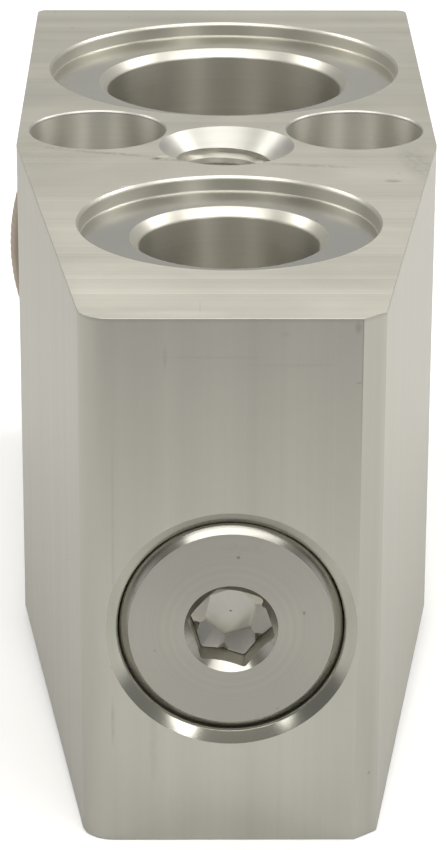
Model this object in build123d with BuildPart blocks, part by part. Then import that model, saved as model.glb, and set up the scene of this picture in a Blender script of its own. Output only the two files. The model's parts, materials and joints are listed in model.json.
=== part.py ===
"""Block expansion valve: machined aluminium block, metering valve, adjuster and power head.

Millimetres, +Z up. The hose face with its ports is on top, the adjusting plug is at the
front (-Y) and the power head at the back (+Y). The origin is the centre of the footprint,
at the level of the lowest point.
"""

import os
from math import atan2, cos, radians, sin, sqrt, tan

from build123d import *

os.makedirs("parts", exist_ok=True)

# Fits and clearances
thread_clearance = 0.05
running_clearance = 0.05
seal_clearance = 0.02
seat_gap = 0.01
press_clearance = 0.01

# Valve block, outside
block_width = 32.0
block_height = 38.4
front_width = 20.0
taper_length = 39.4
front_corner_radius = 1.9
wide_corner_radius = 3.0
back_corner_radius = 0.8
edge_break = 0.15
valve_axis_height = 16.0

# Ports in the hose face and the evaporator face
recess_depth = 1.15
recess_lip = 0.3
mouth_chamfer = 0.65
inlet_recess_radius = 11.0
inlet_bore_radius = 6.45
inlet_passage_radius = 5.9
suction_recess_radius = 14.4
suction_bore_radius = 9.55
suction_inlet_recess_radius = 12.4
suction_inlet_bore_radius = 9.3
suction_passage_radius = 8.8
outlet_recess_radius = 8.6
outlet_bore_radius = 6.1
outlet_passage_radius = 5.6
hose_seat_depth = 13.4
evaporator_seat_depth = 10.4

# Fixing holes, and the blind thread that holds the hose clamp
bolt_spacing = 19.8
bolt_head_radius = 5.2
bolt_head_depth = 12.0
bolt_hole_radius = 2.8
hole_lip = 0.2
bolt_behind_outlet = 6.45
clamp_thread_radius = 3.9
clamp_thread_depth = 12.0
clamp_mouth_radius = 5.15
clamp_mouth_angle = 100.0
clamp_behind_outlet = 2.2
drill_point_angle = 118.0

# Passage along the valve axis
inlet_margin = 0.05
chamber_radius = 6.5
chamber_past_inlet = 0.6
seat_cone_depth = 0.9
orifice_radius = 1.7
orifice_length = 2.8
outlet_above_axis = 4.0
partition_thickness = 10.1
seal_pocket_depth = 4.4
neck_opening_radius = 7.0
back_wall = 8.95

# Adjusting plug
plug_radius = 7.67
plug_chamfer = 0.62
plug_thread_length = 6.6
plug_nose_radius = 6.95
plug_travel = 1.0
thread_runout = 0.4
bore_end_margin = 0.55
plug_mouth_radius = 8.75
key_width = 5.15
key_turn = -12.0
key_depth = 3.8
key_mouth_radius = 3.25
spring_pocket_depth = 4.6
nose_land = 1.05
nose_chamfer = 0.4

# Adjuster seal, an O-ring
adjuster_seal_section = 1.35
groove_play = 0.4
groove_margin = 0.08
squeezed_corner = 0.3

# Metering valve
ball_radius = 2.5
carrier_lip_setback = 0.6
carrier_lip_wall = 0.36
carrier_cup_floor = 1.5
carrier_flange_radius = 5.0
carrier_flange_thickness = 1.2
carrier_spigot_length = 2.8
turned_edge = 0.3
valve_lift = 0.5

# Bias spring
spring_wire_radius = 0.5
spring_coil_radius = 3.6
spring_turns = 5.5
spring_play = 0.25
spring_wire_sides = 8

# Damping spring
damper_thickness = 0.3
damper_ring_radius = 5.1
damper_leg_count = 3
damper_leg_width = 2.4
damper_leg_length = 5.0
damper_leg_bend = 1.1
damper_leg_root = 0.6
damper_tip_drop = 0.9

# Feeler rod, push pin and the rod's seal
rod_radius = 2.8
rod_edge = 0.3
rod_into_outlet = 0.4
pin_radius = 1.1
pin_socket_depth = 3.0
rod_seal_section = 1.55
clip_thickness = 0.4
clip_play = 0.4
clip_tooth_count = 6
clip_notch_width = 1.4
clip_notch_depth = 0.55

# Power head
head_radius = 19.0
base_rim_thickness = 1.2
base_rim_edge = 0.3
base_floor = 1.2
neck_length = 7.4
neck_radius = 11.9
neck_clearance = 0.1
neck_end_gap = 0.6
neck_edge = 0.4
neck_inner_radius = 8.5
head_seal_width = 2.1
head_seal_depth = 1.4
base_shoulder_width = 2.9
base_flare_inset = 2.1
dish_inset = 5.4
dish_mouth_inset = 3.4
diaphragm_thickness = 0.2
diaphragm_inset = 0.6
fold_count = 2
fold_inset = 1.0
fold_width = 2.4
fold_crest = 0.8
fold_spacing = 3.2
fold_height = 0.45
stop_inset = 0.6
stop_thickness = 1.36
stop_hub_wall = 1.6
stop_hub_length = 5.7
rod_in_hub = 5.0
cap_wall = 1.1
cap_foot_inset = 2.4
cap_foot_rise = 1.0
cap_side_inset = 3.3
cap_shoulder_inset = 4.3
cap_shoulder_drop = 1.7
cap_crown_inset = 7.4
cap_crown_height = 10.2
cap_bevel = 0.5
cap_dimple_radius = 4.2
cap_dimple_floor_radius = 3.2
cap_dimple_depth = 0.7
charge_hole_radius = 1.1
charge_head_radius = 2.4
charge_head_height = 1.5
charge_stem_length = 2.2

# Bores that are sized by the piece that runs or seats in them
thread_bore_radius = plug_radius + thread_clearance
seal_bore_radius = plug_nose_radius + running_clearance
rod_bore_radius = rod_radius + running_clearance
seal_pocket_radius = rod_radius + rod_seal_section + 2 * seal_clearance
neck_bore_radius = neck_radius + neck_clearance
head_seal_radius = neck_bore_radius + head_seal_width
carrier_spigot_radius = spring_coil_radius - spring_wire_radius - spring_play
spring_pocket_radius = spring_coil_radius + spring_wire_radius + spring_play

# Radii in the power head, stepped in from its rim and out from its neck
base_shoulder_radius = neck_radius + base_shoulder_width
base_flare_radius = head_radius - base_flare_inset
dish_mouth_radius = head_radius - dish_mouth_inset
dish_radius = head_radius - dish_inset
stop_radius = dish_radius - stop_inset
diaphragm_radius = head_radius - diaphragm_inset
cap_foot_radius = head_radius - cap_foot_inset
cap_side_radius = head_radius - cap_side_inset
cap_shoulder_radius = head_radius - cap_shoulder_inset
cap_crown_radius = head_radius - cap_crown_inset

# Places along the valve axis, measured from the block's front face
thread_end = plug_thread_length + plug_travel + thread_runout
seal_bore_start = thread_end + thread_bore_radius - seal_bore_radius
groove_start = seal_bore_start + plug_travel + groove_margin
groove_width = adjuster_seal_section + groove_play
plug_length = groove_start + groove_width + nose_land
seal_bore_end = plug_length + plug_travel + bore_end_margin
inlet_distance = seal_bore_end + inlet_margin + inlet_bore_radius
chamber_end = inlet_distance + inlet_bore_radius + chamber_past_inlet
orifice_start = chamber_end + seat_cone_depth
outlet_distance = orifice_start + orifice_length + outlet_passage_radius
outlet_end = outlet_distance + outlet_passage_radius
suction_start = outlet_end + partition_thickness
suction_distance = suction_start + suction_passage_radius
seal_pocket_floor = suction_start - seal_pocket_depth
bolt_distance = outlet_distance + bolt_behind_outlet
clamp_distance = outlet_distance + clamp_behind_outlet
block_length = suction_distance + suction_bore_radius + back_wall
neck_floor = block_length - neck_length - neck_end_gap

# Levels in the power head, measured from the block's back face
rim_plane = base_floor + stop_thickness + valve_lift + 2 * seal_clearance
cap_under = rim_plane + diaphragm_thickness
cap_over = cap_under + cap_wall
dimple_floor = cap_crown_height - cap_dimple_depth
head_reach = dimple_floor + charge_head_height

# Places in the valve's own frame
axis_z = max(head_radius, valve_axis_height)
block_bottom = axis_z - valve_axis_height
block_top = block_bottom + block_height
front_y = -(block_length + head_reach) / 2
back_y = front_y + block_length
widest_y = front_y + taper_length

valve_axis = Axis((0, front_y, axis_z), (0, 1, 0))


def axial_plane(distance=0.0, angle=90.0):
    """Plane through the valve axis: local x runs back along it, local y is the radius."""
    across = (sin(radians(angle)), 0, -cos(radians(angle)))
    return Plane(origin=(0, front_y + distance, axis_z), x_dir=(0, 1, 0), z_dir=across)


def square_plane(distance=0.0):
    """Plane square to the valve axis, seen from the front, with local y up."""
    return Plane(origin=(0, front_y + distance, axis_z), x_dir=(1, 0, 0), z_dir=(0, -1, 0))


def hole_section(x, distance, face_z, outward, outline):
    """Half section of an upright hole; outline holds (radius, depth) from mouth to bottom."""
    plane = Plane(
        origin=(x, front_y + distance, face_z), x_dir=(1, 0, 0), z_dir=(0, -outward, 0)
    )
    with BuildSketch(plane) as section:
        with BuildLine():
            Polyline((0, 0), *[(radius, -depth) for radius, depth in outline], close=True)
        make_face()
    return section.sketch


def upright_axis(x, distance):
    """Upright axis through a hole's centre."""
    return Axis((x, front_y + distance, 0), (0, 0, 1))


def port_outline(recess_radius, bore_radius, seat_depth, passage_radius, bottom_depth):
    """Port with a lip, a sealing recess, a chamfered mouth, a pipe seat and a passage."""
    return [
        (recess_radius, 0),
        (recess_radius - recess_lip, recess_lip),
        (recess_radius - recess_lip, recess_depth),
        (bore_radius + mouth_chamfer, recess_depth),
        (bore_radius, recess_depth + mouth_chamfer),
        (bore_radius, seat_depth),
        (passage_radius, seat_depth),
        (passage_radius, bottom_depth),
        (0, bottom_depth),
    ]


# Valve block
with BuildPart() as valve_block:
    with BuildSketch(Plane.XY.offset(block_bottom)) as outline:
        with BuildLine():
            Polyline(
                (-front_width / 2, front_y),
                (front_width / 2, front_y),
                (block_width / 2, widest_y),
                (block_width / 2, back_y),
                (-block_width / 2, back_y),
                (-block_width / 2, widest_y),
                close=True,
            )
        make_face()
        fillet(outline.vertices().group_by(Axis.Y)[-1], back_corner_radius)
        fillet(outline.vertices().group_by(Axis.Y)[1], wide_corner_radius)
        fillet(outline.vertices().group_by(Axis.Y)[0], front_corner_radius)
    extrude(amount=block_height)
    flat_ends = valve_block.faces().filter_by(Axis.Z)
    chamfer(flat_ends.edges(), edge_break)

    # Passage along the valve axis, from the plug's mouth to the power head's neck
    with BuildSketch(axial_plane()):
        with BuildLine():
            Polyline(
                (0, 0),
                (0, plug_mouth_radius),
                (plug_mouth_radius - thread_bore_radius, thread_bore_radius),
                (thread_end, thread_bore_radius),
                (seal_bore_start, seal_bore_radius),
                (seal_bore_end, seal_bore_radius),
                (seal_bore_end, chamber_radius),
                (chamber_end, chamber_radius),
                (chamber_end, orifice_radius + seat_cone_depth),
                (orifice_start, orifice_radius),
                (outlet_distance, orifice_radius),
                (outlet_distance, rod_bore_radius),
                (seal_pocket_floor, rod_bore_radius),
                (seal_pocket_floor, seal_pocket_radius),
                (suction_distance, seal_pocket_radius),
                (suction_distance, neck_opening_radius),
                (neck_floor, neck_opening_radius),
                (neck_floor, neck_bore_radius),
                (block_length - head_seal_depth, neck_bore_radius),
                (block_length - head_seal_depth, head_seal_radius),
                (block_length, head_seal_radius),
                (block_length, 0),
                close=True,
            )
        make_face()
    revolve(axis=valve_axis, mode=Mode.SUBTRACT)

    # Suction passage, straight through from face to face
    suction_axis = upright_axis(0, suction_distance)
    half_height = block_height / 2
    suction_top = port_outline(
        suction_recess_radius,
        suction_bore_radius,
        hose_seat_depth,
        suction_passage_radius,
        half_height,
    )
    revolve(
        hole_section(0, suction_distance, block_top, 1, suction_top),
        axis=suction_axis,
        mode=Mode.SUBTRACT,
    )
    suction_bottom = port_outline(
        suction_inlet_recess_radius,
        suction_inlet_bore_radius,
        evaporator_seat_depth,
        suction_passage_radius,
        half_height,
    )
    revolve(
        hole_section(0, suction_distance, block_bottom, -1, suction_bottom),
        axis=suction_axis,
        mode=Mode.SUBTRACT,
    )

    # Liquid inlet, down from the hose face into the ball chamber
    inlet_depth = block_height - valve_axis_height
    inlet_outline = port_outline(
        inlet_recess_radius,
        inlet_bore_radius,
        hose_seat_depth,
        inlet_passage_radius,
        inlet_depth,
    )
    revolve(
        hole_section(0, inlet_distance, block_top, 1, inlet_outline),
        axis=upright_axis(0, inlet_distance),
        mode=Mode.SUBTRACT,
    )

    # Liquid outlet, up from the evaporator face past the orifice
    outlet_depth = valve_axis_height + outlet_above_axis
    outlet_outline = port_outline(
        outlet_recess_radius,
        outlet_bore_radius,
        evaporator_seat_depth,
        outlet_passage_radius,
        outlet_depth,
    )
    revolve(
        hole_section(0, outlet_distance, block_bottom, -1, outlet_outline),
        axis=upright_axis(0, outlet_distance),
        mode=Mode.SUBTRACT,
    )

    # Fixing holes, with deep seats for the screw heads
    for side in (-1, 1):
        bolt_x = side * bolt_spacing / 2
        bolt_outline = [
            (bolt_head_radius + hole_lip, 0),
            (bolt_head_radius, hole_lip),
            (bolt_head_radius, bolt_head_depth),
            (bolt_hole_radius, bolt_head_depth),
            (bolt_hole_radius, block_height - hole_lip),
            (bolt_hole_radius + hole_lip, block_height),
            (0, block_height),
        ]
        revolve(
            hole_section(bolt_x, bolt_distance, block_top, 1, bolt_outline),
            axis=upright_axis(bolt_x, bolt_distance),
            mode=Mode.SUBTRACT,
        )

    # Blind thread for the hose clamp's stud, countersunk, with the drill's point
    mouth_step = clamp_mouth_radius - clamp_thread_radius
    clamp_mouth_depth = mouth_step / tan(radians(clamp_mouth_angle / 2))
    drill_point = clamp_thread_radius / tan(radians(drill_point_angle / 2))
    clamp_outline = [
        (clamp_mouth_radius, 0),
        (clamp_thread_radius, clamp_mouth_depth),
        (clamp_thread_radius, clamp_thread_depth),
        (0, clamp_thread_depth + drill_point),
    ]
    revolve(
        hole_section(0, clamp_distance, block_top, 1, clamp_outline),
        axis=upright_axis(0, clamp_distance),
        mode=Mode.SUBTRACT,
    )

# Adjusting plug
groove_floor = seal_bore_radius - 2 * seal_clearance - adjuster_seal_section
spring_floor = plug_length - spring_pocket_depth
with BuildPart() as adjusting_plug:
    with BuildSketch(axial_plane()):
        with BuildLine():
            Polyline(
                (0, 0),
                (0, plug_radius - plug_chamfer),
                (plug_chamfer, plug_radius),
                (plug_thread_length, plug_radius),
                (plug_thread_length, plug_nose_radius),
                (groove_start, plug_nose_radius),
                (groove_start, groove_floor),
                (groove_start + groove_width, groove_floor),
                (groove_start + groove_width, plug_nose_radius),
                (plug_length - nose_chamfer, plug_nose_radius),
                (plug_length, plug_nose_radius - nose_chamfer),
                (plug_length, spring_pocket_radius),
                (spring_floor, spring_pocket_radius),
                (spring_floor, 0),
                close=True,
            )
        make_face()
    revolve(axis=valve_axis)

    # Hexagon socket with a coned mouth
    with BuildSketch(square_plane()):
        RegularPolygon(key_width / 2, 6, major_radius=False, rotation=key_turn)
    extrude(amount=-key_depth, mode=Mode.SUBTRACT)
    with BuildSketch(axial_plane()):
        with BuildLine():
            Polyline((0, 0), (0, key_mouth_radius), (key_mouth_radius, 0), close=True)
        make_face()
    revolve(axis=valve_axis, mode=Mode.SUBTRACT)

# Adjuster seal, squeezed flat against the groove's floor and the bore
seal_middle = groove_start + groove_width / 2
seal_ring_radius = groove_floor + seal_clearance + adjuster_seal_section / 2
with BuildPart() as adjuster_seal:
    with BuildSketch(axial_plane(seal_middle)) as seal_section:
        with Locations((0, seal_ring_radius)):
            Rectangle(adjuster_seal_section, adjuster_seal_section)
        chamfer(seal_section.vertices(), squeezed_corner)
    revolve(axis=valve_axis)

# Valve ball, against the orifice's cone at rest
ball_distance = orifice_start + orifice_radius - sqrt(2) * (ball_radius + seat_gap)
with BuildPart() as valve_ball:
    with Locations((0, front_y + ball_distance, axis_z)):
        Sphere(ball_radius)

# Ball carrier, with a coned cup under the ball and a spigot inside the spring
cup_apex = ball_distance - sqrt(2) * (ball_radius + press_clearance)
carrier_lip = ball_distance - carrier_lip_setback
cup_mouth_radius = carrier_lip - cup_apex
carrier_cup_radius = cup_mouth_radius + carrier_lip_wall
carrier_flange_front = cup_apex - carrier_cup_floor
carrier_flange_back = carrier_flange_front - carrier_flange_thickness
carrier_end = carrier_flange_back - carrier_spigot_length
with BuildPart() as ball_carrier:
    with BuildSketch(axial_plane()):
        with BuildLine():
            Polyline(
                (carrier_end, 0),
                (carrier_end, carrier_spigot_radius - turned_edge),
                (carrier_end + turned_edge, carrier_spigot_radius),
                (carrier_flange_back, carrier_spigot_radius),
                (carrier_flange_back, carrier_flange_radius),
                (carrier_flange_front, carrier_flange_radius),
                (carrier_flange_front, carrier_cup_radius),
                (carrier_lip, carrier_cup_radius),
                (carrier_lip, cup_mouth_radius),
                (cup_apex, 0),
                close=True,
            )
        make_face()
    revolve(axis=valve_axis)

# Damping spring, a ring behind the carrier's flange with legs along the chamber wall
ring_back = carrier_flange_back - damper_thickness
leg_end = ring_back + damper_leg_length
leg_reach = chamber_radius - running_clearance
leg_outside = sqrt(leg_reach**2 - (damper_leg_width / 2) ** 2)
with BuildPart() as damping_spring:
    with BuildSketch(square_plane(ring_back)):
        Circle(damper_ring_radius)
        Circle(carrier_spigot_radius + press_clearance, mode=Mode.SUBTRACT)
    extrude(amount=-damper_thickness)
    for leg in range(damper_leg_count):
        leg_angle = -90 + leg * 360 / damper_leg_count
        with BuildSketch(axial_plane(0, leg_angle)):
            with BuildLine():
                Polyline(
                    (ring_back, damper_ring_radius - damper_leg_root),
                    (ring_back, damper_ring_radius),
                    (ring_back + damper_leg_bend, leg_outside),
                    (leg_end - damper_leg_bend, leg_outside),
                    (leg_end, leg_outside - damper_tip_drop),
                )
                offset(amount=damper_thickness, kind=Kind.INTERSECTION, side=Side.RIGHT)
            make_face()
        extrude(amount=damper_leg_width / 2, both=True)

# Bias spring, with its end turns ground flat on the plug and on the damping ring
spring_length = ring_back - spring_floor
spring_pitch = spring_length / spring_turns
helix_start = front_y + spring_floor - spring_wire_radius / 2
with BuildPart() as bias_spring:
    with BuildLine() as coil:
        Helix(
            pitch=spring_pitch,
            height=spring_length + spring_wire_radius,
            radius=spring_coil_radius,
            center=(0, helix_start, axis_z),
            direction=(0, 1, 0),
        )
    with BuildSketch(Plane(origin=coil.line @ 0, z_dir=coil.line % 0)):
        RegularPolygon(spring_wire_radius, spring_wire_sides)
    sweep(path=coil.line, is_frenet=True)
    split(bisect_by=square_plane(spring_floor), keep=Keep.BOTTOM)
    split(bisect_by=square_plane(ring_back), keep=Keep.TOP)

# Push pin, from the ball to its socket in the feeler rod
rod_start = outlet_end - rod_into_outlet
pin_start = ball_distance + ball_radius
pin_end = rod_start + pin_socket_depth
with BuildPart() as push_pin:
    with BuildSketch(square_plane(pin_start)):
        Circle(pin_radius)
    extrude(amount=-(pin_end - pin_start))

# Feeler rod, from the liquid outlet through the suction passage to the power head
hub_end = block_length + rim_plane - stop_hub_length - stop_thickness
rod_end = hub_end + rod_in_hub
with BuildPart() as feeler_rod:
    with BuildSketch(axial_plane()):
        with BuildLine():
            Polyline(
                (rod_start, pin_radius + press_clearance),
                (rod_start, rod_radius - rod_edge),
                (rod_start + rod_edge, rod_radius),
                (rod_end - rod_edge, rod_radius),
                (rod_end, rod_radius - rod_edge),
                (rod_end, 0),
                (pin_end, 0),
                (pin_end, pin_radius + press_clearance),
                close=True,
            )
        make_face()
    revolve(axis=valve_axis)

# Rod seal in its pocket in the partition
rod_seal_middle = seal_pocket_floor + seal_clearance + rod_seal_section / 2
rod_seal_radius = rod_radius + seal_clearance + rod_seal_section / 2
with BuildPart() as rod_seal:
    with BuildSketch(axial_plane(rod_seal_middle)) as rod_seal_profile:
        with Locations((0, rod_seal_radius)):
            Rectangle(rod_seal_section, rod_seal_section)
        chamfer(rod_seal_profile.vertices(), squeezed_corner)
    revolve(axis=valve_axis)

# Seal clip, a washer whose outer teeth grip the pocket
clip_start = seal_pocket_floor + rod_seal_section + 2 * seal_clearance
clip_radius = seal_pocket_radius - press_clearance
with BuildPart() as seal_clip:
    with BuildSketch(square_plane(clip_start)):
        Circle(clip_radius)
        Circle(rod_radius + clip_play, mode=Mode.SUBTRACT)
        with PolarLocations(clip_radius, clip_tooth_count):
            Rectangle(2 * clip_notch_depth, clip_notch_width, mode=Mode.SUBTRACT)
    extrude(amount=-clip_thickness)

# Head seal, squeezed into the recess round the neck
seal_wide = head_seal_radius - neck_radius - 2 * seal_clearance
seal_deep = head_seal_depth - 2 * seal_clearance
with BuildPart() as head_seal:
    with BuildSketch(axial_plane(block_length - head_seal_depth / 2)) as head_seal_profile:
        with Locations((0, neck_radius + seal_clearance + seal_wide / 2)):
            Rectangle(seal_deep, seal_wide)
        chamfer(head_seal_profile.vertices(), squeezed_corner)
    revolve(axis=valve_axis)

# Head base: screwed neck, dished floor and rim
rim_back = rim_plane - base_rim_thickness
with BuildPart() as head_base:
    with BuildSketch(axial_plane(block_length)):
        with BuildLine():
            Polyline(
                (-neck_length, neck_inner_radius),
                (-neck_length, neck_radius - neck_edge),
                (neck_edge - neck_length, neck_radius),
                (0, neck_radius),
                (0, base_shoulder_radius),
                (rim_back, base_flare_radius),
                (rim_back, head_radius - base_rim_edge),
                (rim_back + base_rim_edge, head_radius),
                (rim_plane, head_radius),
                (rim_plane, dish_mouth_radius),
                (base_floor, dish_radius),
                (base_floor, neck_inner_radius),
                close=True,
            )
        make_face()
    revolve(axis=valve_axis)

# Diaphragm, a thin disc with ring-shaped folds
crest_setback = (fold_width - fold_crest) / 2
fold_line = [(0, 0)]
for fold in reversed(range(fold_count)):
    foot = dish_radius - fold_inset - fold_width - fold * fold_spacing
    fold_line += [
        (0, foot),
        (fold_height, foot + crest_setback),
        (fold_height, foot + crest_setback + fold_crest),
        (0, foot + fold_width),
    ]
fold_line += [(0, diaphragm_radius)]
top_line = [(level + diaphragm_thickness, radius) for level, radius in fold_line]
with BuildPart() as diaphragm:
    with BuildSketch(axial_plane(block_length + rim_plane)):
        with BuildLine():
            Polyline(*fold_line, *reversed(top_line), close=True)
        make_face()
    revolve(axis=valve_axis)

# Diaphragm stop: a plate under the diaphragm with the feeler rod's hub
plate_top = block_length + rim_plane - seal_clearance
plate_bottom = plate_top - stop_thickness
stop_hub_radius = rod_radius + stop_hub_wall
with BuildPart() as diaphragm_stop:
    with BuildSketch(axial_plane()):
        with BuildLine():
            Polyline(
                (plate_top, 0),
                (plate_top, stop_radius - turned_edge),
                (plate_top - turned_edge, stop_radius),
                (plate_bottom, stop_radius),
                (plate_bottom, stop_hub_radius),
                (hub_end, stop_hub_radius),
                (hub_end, rod_radius + press_clearance),
                (rod_end, rod_radius + press_clearance),
                (rod_end, 0),
                close=True,
            )
        make_face()
    revolve(axis=valve_axis)

# Head cap: a pressed shell, lipped over the diaphragm's edge, dimpled at the crown
crown_edge = cap_crown_height - cap_bevel
with BuildPart() as head_cap:
    with BuildSketch(axial_plane(block_length)):
        with BuildLine():
            Polyline(
                (cap_over, head_radius),
                (cap_over, cap_foot_radius),
                (cap_over + cap_foot_rise, cap_side_radius),
                (cap_crown_height - cap_shoulder_drop, cap_shoulder_radius),
                (crown_edge, cap_shoulder_radius - cap_shoulder_drop + cap_bevel),
                (cap_crown_height, cap_crown_radius),
                (cap_crown_height, cap_dimple_radius),
                (dimple_floor, cap_dimple_floor_radius),
                (dimple_floor, charge_hole_radius),
            )
            offset(amount=cap_wall, kind=Kind.INTERSECTION, side=Side.RIGHT)
        make_face()
        with BuildLine():
            Polyline(
                (rim_plane, diaphragm_radius + press_clearance),
                (rim_plane, head_radius),
                (cap_over, head_radius),
                (cap_over, diaphragm_radius + press_clearance),
                close=True,
            )
        make_face()
    revolve(axis=valve_axis)

# Charge plug in the cap's filling hole
stem_radius = charge_hole_radius - press_clearance
dome_radius = (charge_head_radius**2 + charge_head_height**2) / (2 * charge_head_height)
dome_centre = charge_head_height - dome_radius
dome_half_angle = atan2(charge_head_radius, -dome_centre) / 2
with BuildPart() as charge_plug:
    with BuildSketch(axial_plane(block_length + dimple_floor)):
        with BuildLine():
            Polyline(
                (charge_head_height, 0),
                (-charge_stem_length, 0),
                (-charge_stem_length, stem_radius),
                (0, stem_radius),
                (0, charge_head_radius),
            )
            ThreePointArc(
                (0, charge_head_radius),
                (
                    dome_centre + dome_radius * cos(dome_half_angle),
                    dome_radius * sin(dome_half_angle),
                ),
                (charge_head_height, 0),
            )
        make_face()
    revolve(axis=valve_axis)

# Labels and files
pieces = {
    "valve_block": valve_block,
    "adjusting_plug": adjusting_plug,
    "adjuster_seal": adjuster_seal,
    "bias_spring": bias_spring,
    "ball_carrier": ball_carrier,
    "damping_spring": damping_spring,
    "valve_ball": valve_ball,
    "push_pin": push_pin,
    "feeler_rod": feeler_rod,
    "rod_seal": rod_seal,
    "seal_clip": seal_clip,
    "diaphragm_stop": diaphragm_stop,
    "diaphragm": diaphragm,
    "head_base": head_base,
    "head_cap": head_cap,
    "charge_plug": charge_plug,
    "head_seal": head_seal,
}
for name, piece in pieces.items():
    piece.part.label = name
    export_step(piece.part, f"parts/{name}.step")
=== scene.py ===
"""Looks of a block expansion valve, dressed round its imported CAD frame.

Sizes in the classes are in millimetres, in the part's own frame: +Z up out of the hose face,
-Y out of the adjusting plug's face. Meshes are made in metres.
"""

import json
import logging
from dataclasses import dataclass
from enum import Enum
from typing import Callable, Iterable, Sequence

import bpy
import numpy as np
from mathutils import Matrix, Vector


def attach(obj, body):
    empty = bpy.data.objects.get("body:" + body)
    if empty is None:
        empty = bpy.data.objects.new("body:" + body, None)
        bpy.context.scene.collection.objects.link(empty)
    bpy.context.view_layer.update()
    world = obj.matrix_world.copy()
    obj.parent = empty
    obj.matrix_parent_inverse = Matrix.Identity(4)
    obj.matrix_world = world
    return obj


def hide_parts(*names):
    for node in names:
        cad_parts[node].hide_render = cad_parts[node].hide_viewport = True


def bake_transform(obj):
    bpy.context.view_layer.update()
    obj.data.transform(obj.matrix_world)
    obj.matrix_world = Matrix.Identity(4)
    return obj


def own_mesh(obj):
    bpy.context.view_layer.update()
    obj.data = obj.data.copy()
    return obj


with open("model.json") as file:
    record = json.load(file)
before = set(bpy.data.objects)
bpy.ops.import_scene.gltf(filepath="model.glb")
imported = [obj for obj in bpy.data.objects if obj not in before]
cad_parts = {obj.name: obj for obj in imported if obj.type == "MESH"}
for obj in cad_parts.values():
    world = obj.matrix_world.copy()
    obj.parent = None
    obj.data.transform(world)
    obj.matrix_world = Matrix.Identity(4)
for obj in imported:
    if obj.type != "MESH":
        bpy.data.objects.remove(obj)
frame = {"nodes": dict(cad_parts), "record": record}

log = logging.getLogger("valve")

MM = 0.001
SHARP_ANGLE = np.radians(24)
TURN = 2 * np.pi
# How much the second coordinate across counts beside the first, so that drawn lines, which run
# along the axis, fall on side faces of any direction
SECOND_WEIGHT = 1.37
# Painted shade along the hose face's edge: where it starts and is full, below that face
EDGE_SHADE_DEPTH = 0.3
EDGE_SHADE_FULL = 0.12

Ripple = Callable[[np.ndarray, np.ndarray], np.ndarray]
Colour = tuple[float, float, float]
Point = tuple[float, float, float]
# Where a change begins and ends, and the values at both
Grade = tuple[float, float, float, float]

# A quarter turn, as the shader counts turns of its stretched gloss
QUARTER_TURN = 0.25
# How quickly the tool's lines drift, and the grain of a mark's gaps, per metre
DRIFT_SCALE = 120.0
GRIT_SCALE = 2600.0
# How slowly the broad bands follow one another beside the fine lines, and the fine lines' share
BAND_RATE = 0.13
FINE_SHARE = 0.6
# Where the lines fade, and the edges of nicks, of single marks and of the gaps in them
LINES_FADE: Grade = (0.3, 0.7, 0.55, 1.0)
NICK_EDGE: Grade = (0.04, 0.11, 1.0, 0.0)
MARK_EDGE: Grade = (0.4, 1.0, 1.0, 0.0)
MARK_GAPS: Grade = (0.35, 0.6, 1.0, 0.0)
# The share of places for a nick that stay empty
NICKS_LEFT_OUT = 0.93


class Heading(Enum):
    """The way a turned shape's depth runs, as the rows of a right-handed basis."""

    DOWN = ((1, 0, 0), (0, -1, 0), (0, 0, -1))
    UP = ((1, 0, 0), (0, 1, 0), (0, 0, 1))
    BACK = ((0, 0, 1), (1, 0, 0), (0, 1, 0))

    @property
    def basis(self) -> np.ndarray:
        """The two directions across and the direction along, as rows."""
        return np.array(self.value, float)


class Grain(Enum):
    """The marks that a tool leaves on a face."""

    RINGS = "rings round the axis, on a faced end"
    HOOPS = "rings along the axis, on a bored wall"
    ACROSS = "straight lines square to the axis"
    DRAWN = "straight lines along the axis"
    SPECKLED = "fine grain with no direction"


# Surfaces


@dataclass
class Shell:
    """A surface in millimetres: its points, and its faces with a finish number each."""

    points: np.ndarray
    faces: list[list[int]]
    finishes: list[int]

    def volume(self) -> float:
        """Signed volume, the sum of the tetrahedra from the origin to each face's fan.

        Returns:
            The volume, below nought where the faces look inwards.
        """
        total = 0.0
        sizes = {len(face) for face in self.faces}
        for size in sizes:
            ring = np.array([face for face in self.faces if len(face) == size])
            corner = self.points[ring]
            for step in range(1, size - 1):
                cross = np.cross(corner[:, step], corner[:, step + 1])
                total += float(np.einsum("ij,ij->", corner[:, 0], cross)) / 6
        return total

    def outward(self) -> "Shell":
        """The same shell with its faces turned outwards.

        Returns:
            The shell itself.
        """
        if self.volume() < 0:
            self.faces = [face[::-1] for face in self.faces]
        return self


def grid_faces(rows: int, columns: int, wrap_rows: bool, wrap_columns: bool) -> np.ndarray:
    """Faces of a grid of points, row by row.

    Args:
        rows: number of rows of points.
        columns: number of points in a row.
        wrap_rows: whether the last row joins the first.
        wrap_columns: whether the last point of a row joins its first.

    Returns:
        An array of four point numbers a face.
    """
    row = np.arange(rows if wrap_rows else rows - 1)[:, None]
    column = np.arange(columns if wrap_columns else columns - 1)[None, :]
    next_row, next_column = (row + 1) % rows, (column + 1) % columns
    corners = [
        row * columns + column,
        row * columns + next_column,
        next_row * columns + next_column,
        next_row * columns + column,
    ]
    return np.stack(np.broadcast_arrays(*corners), -1).reshape(-1, 4)


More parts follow.
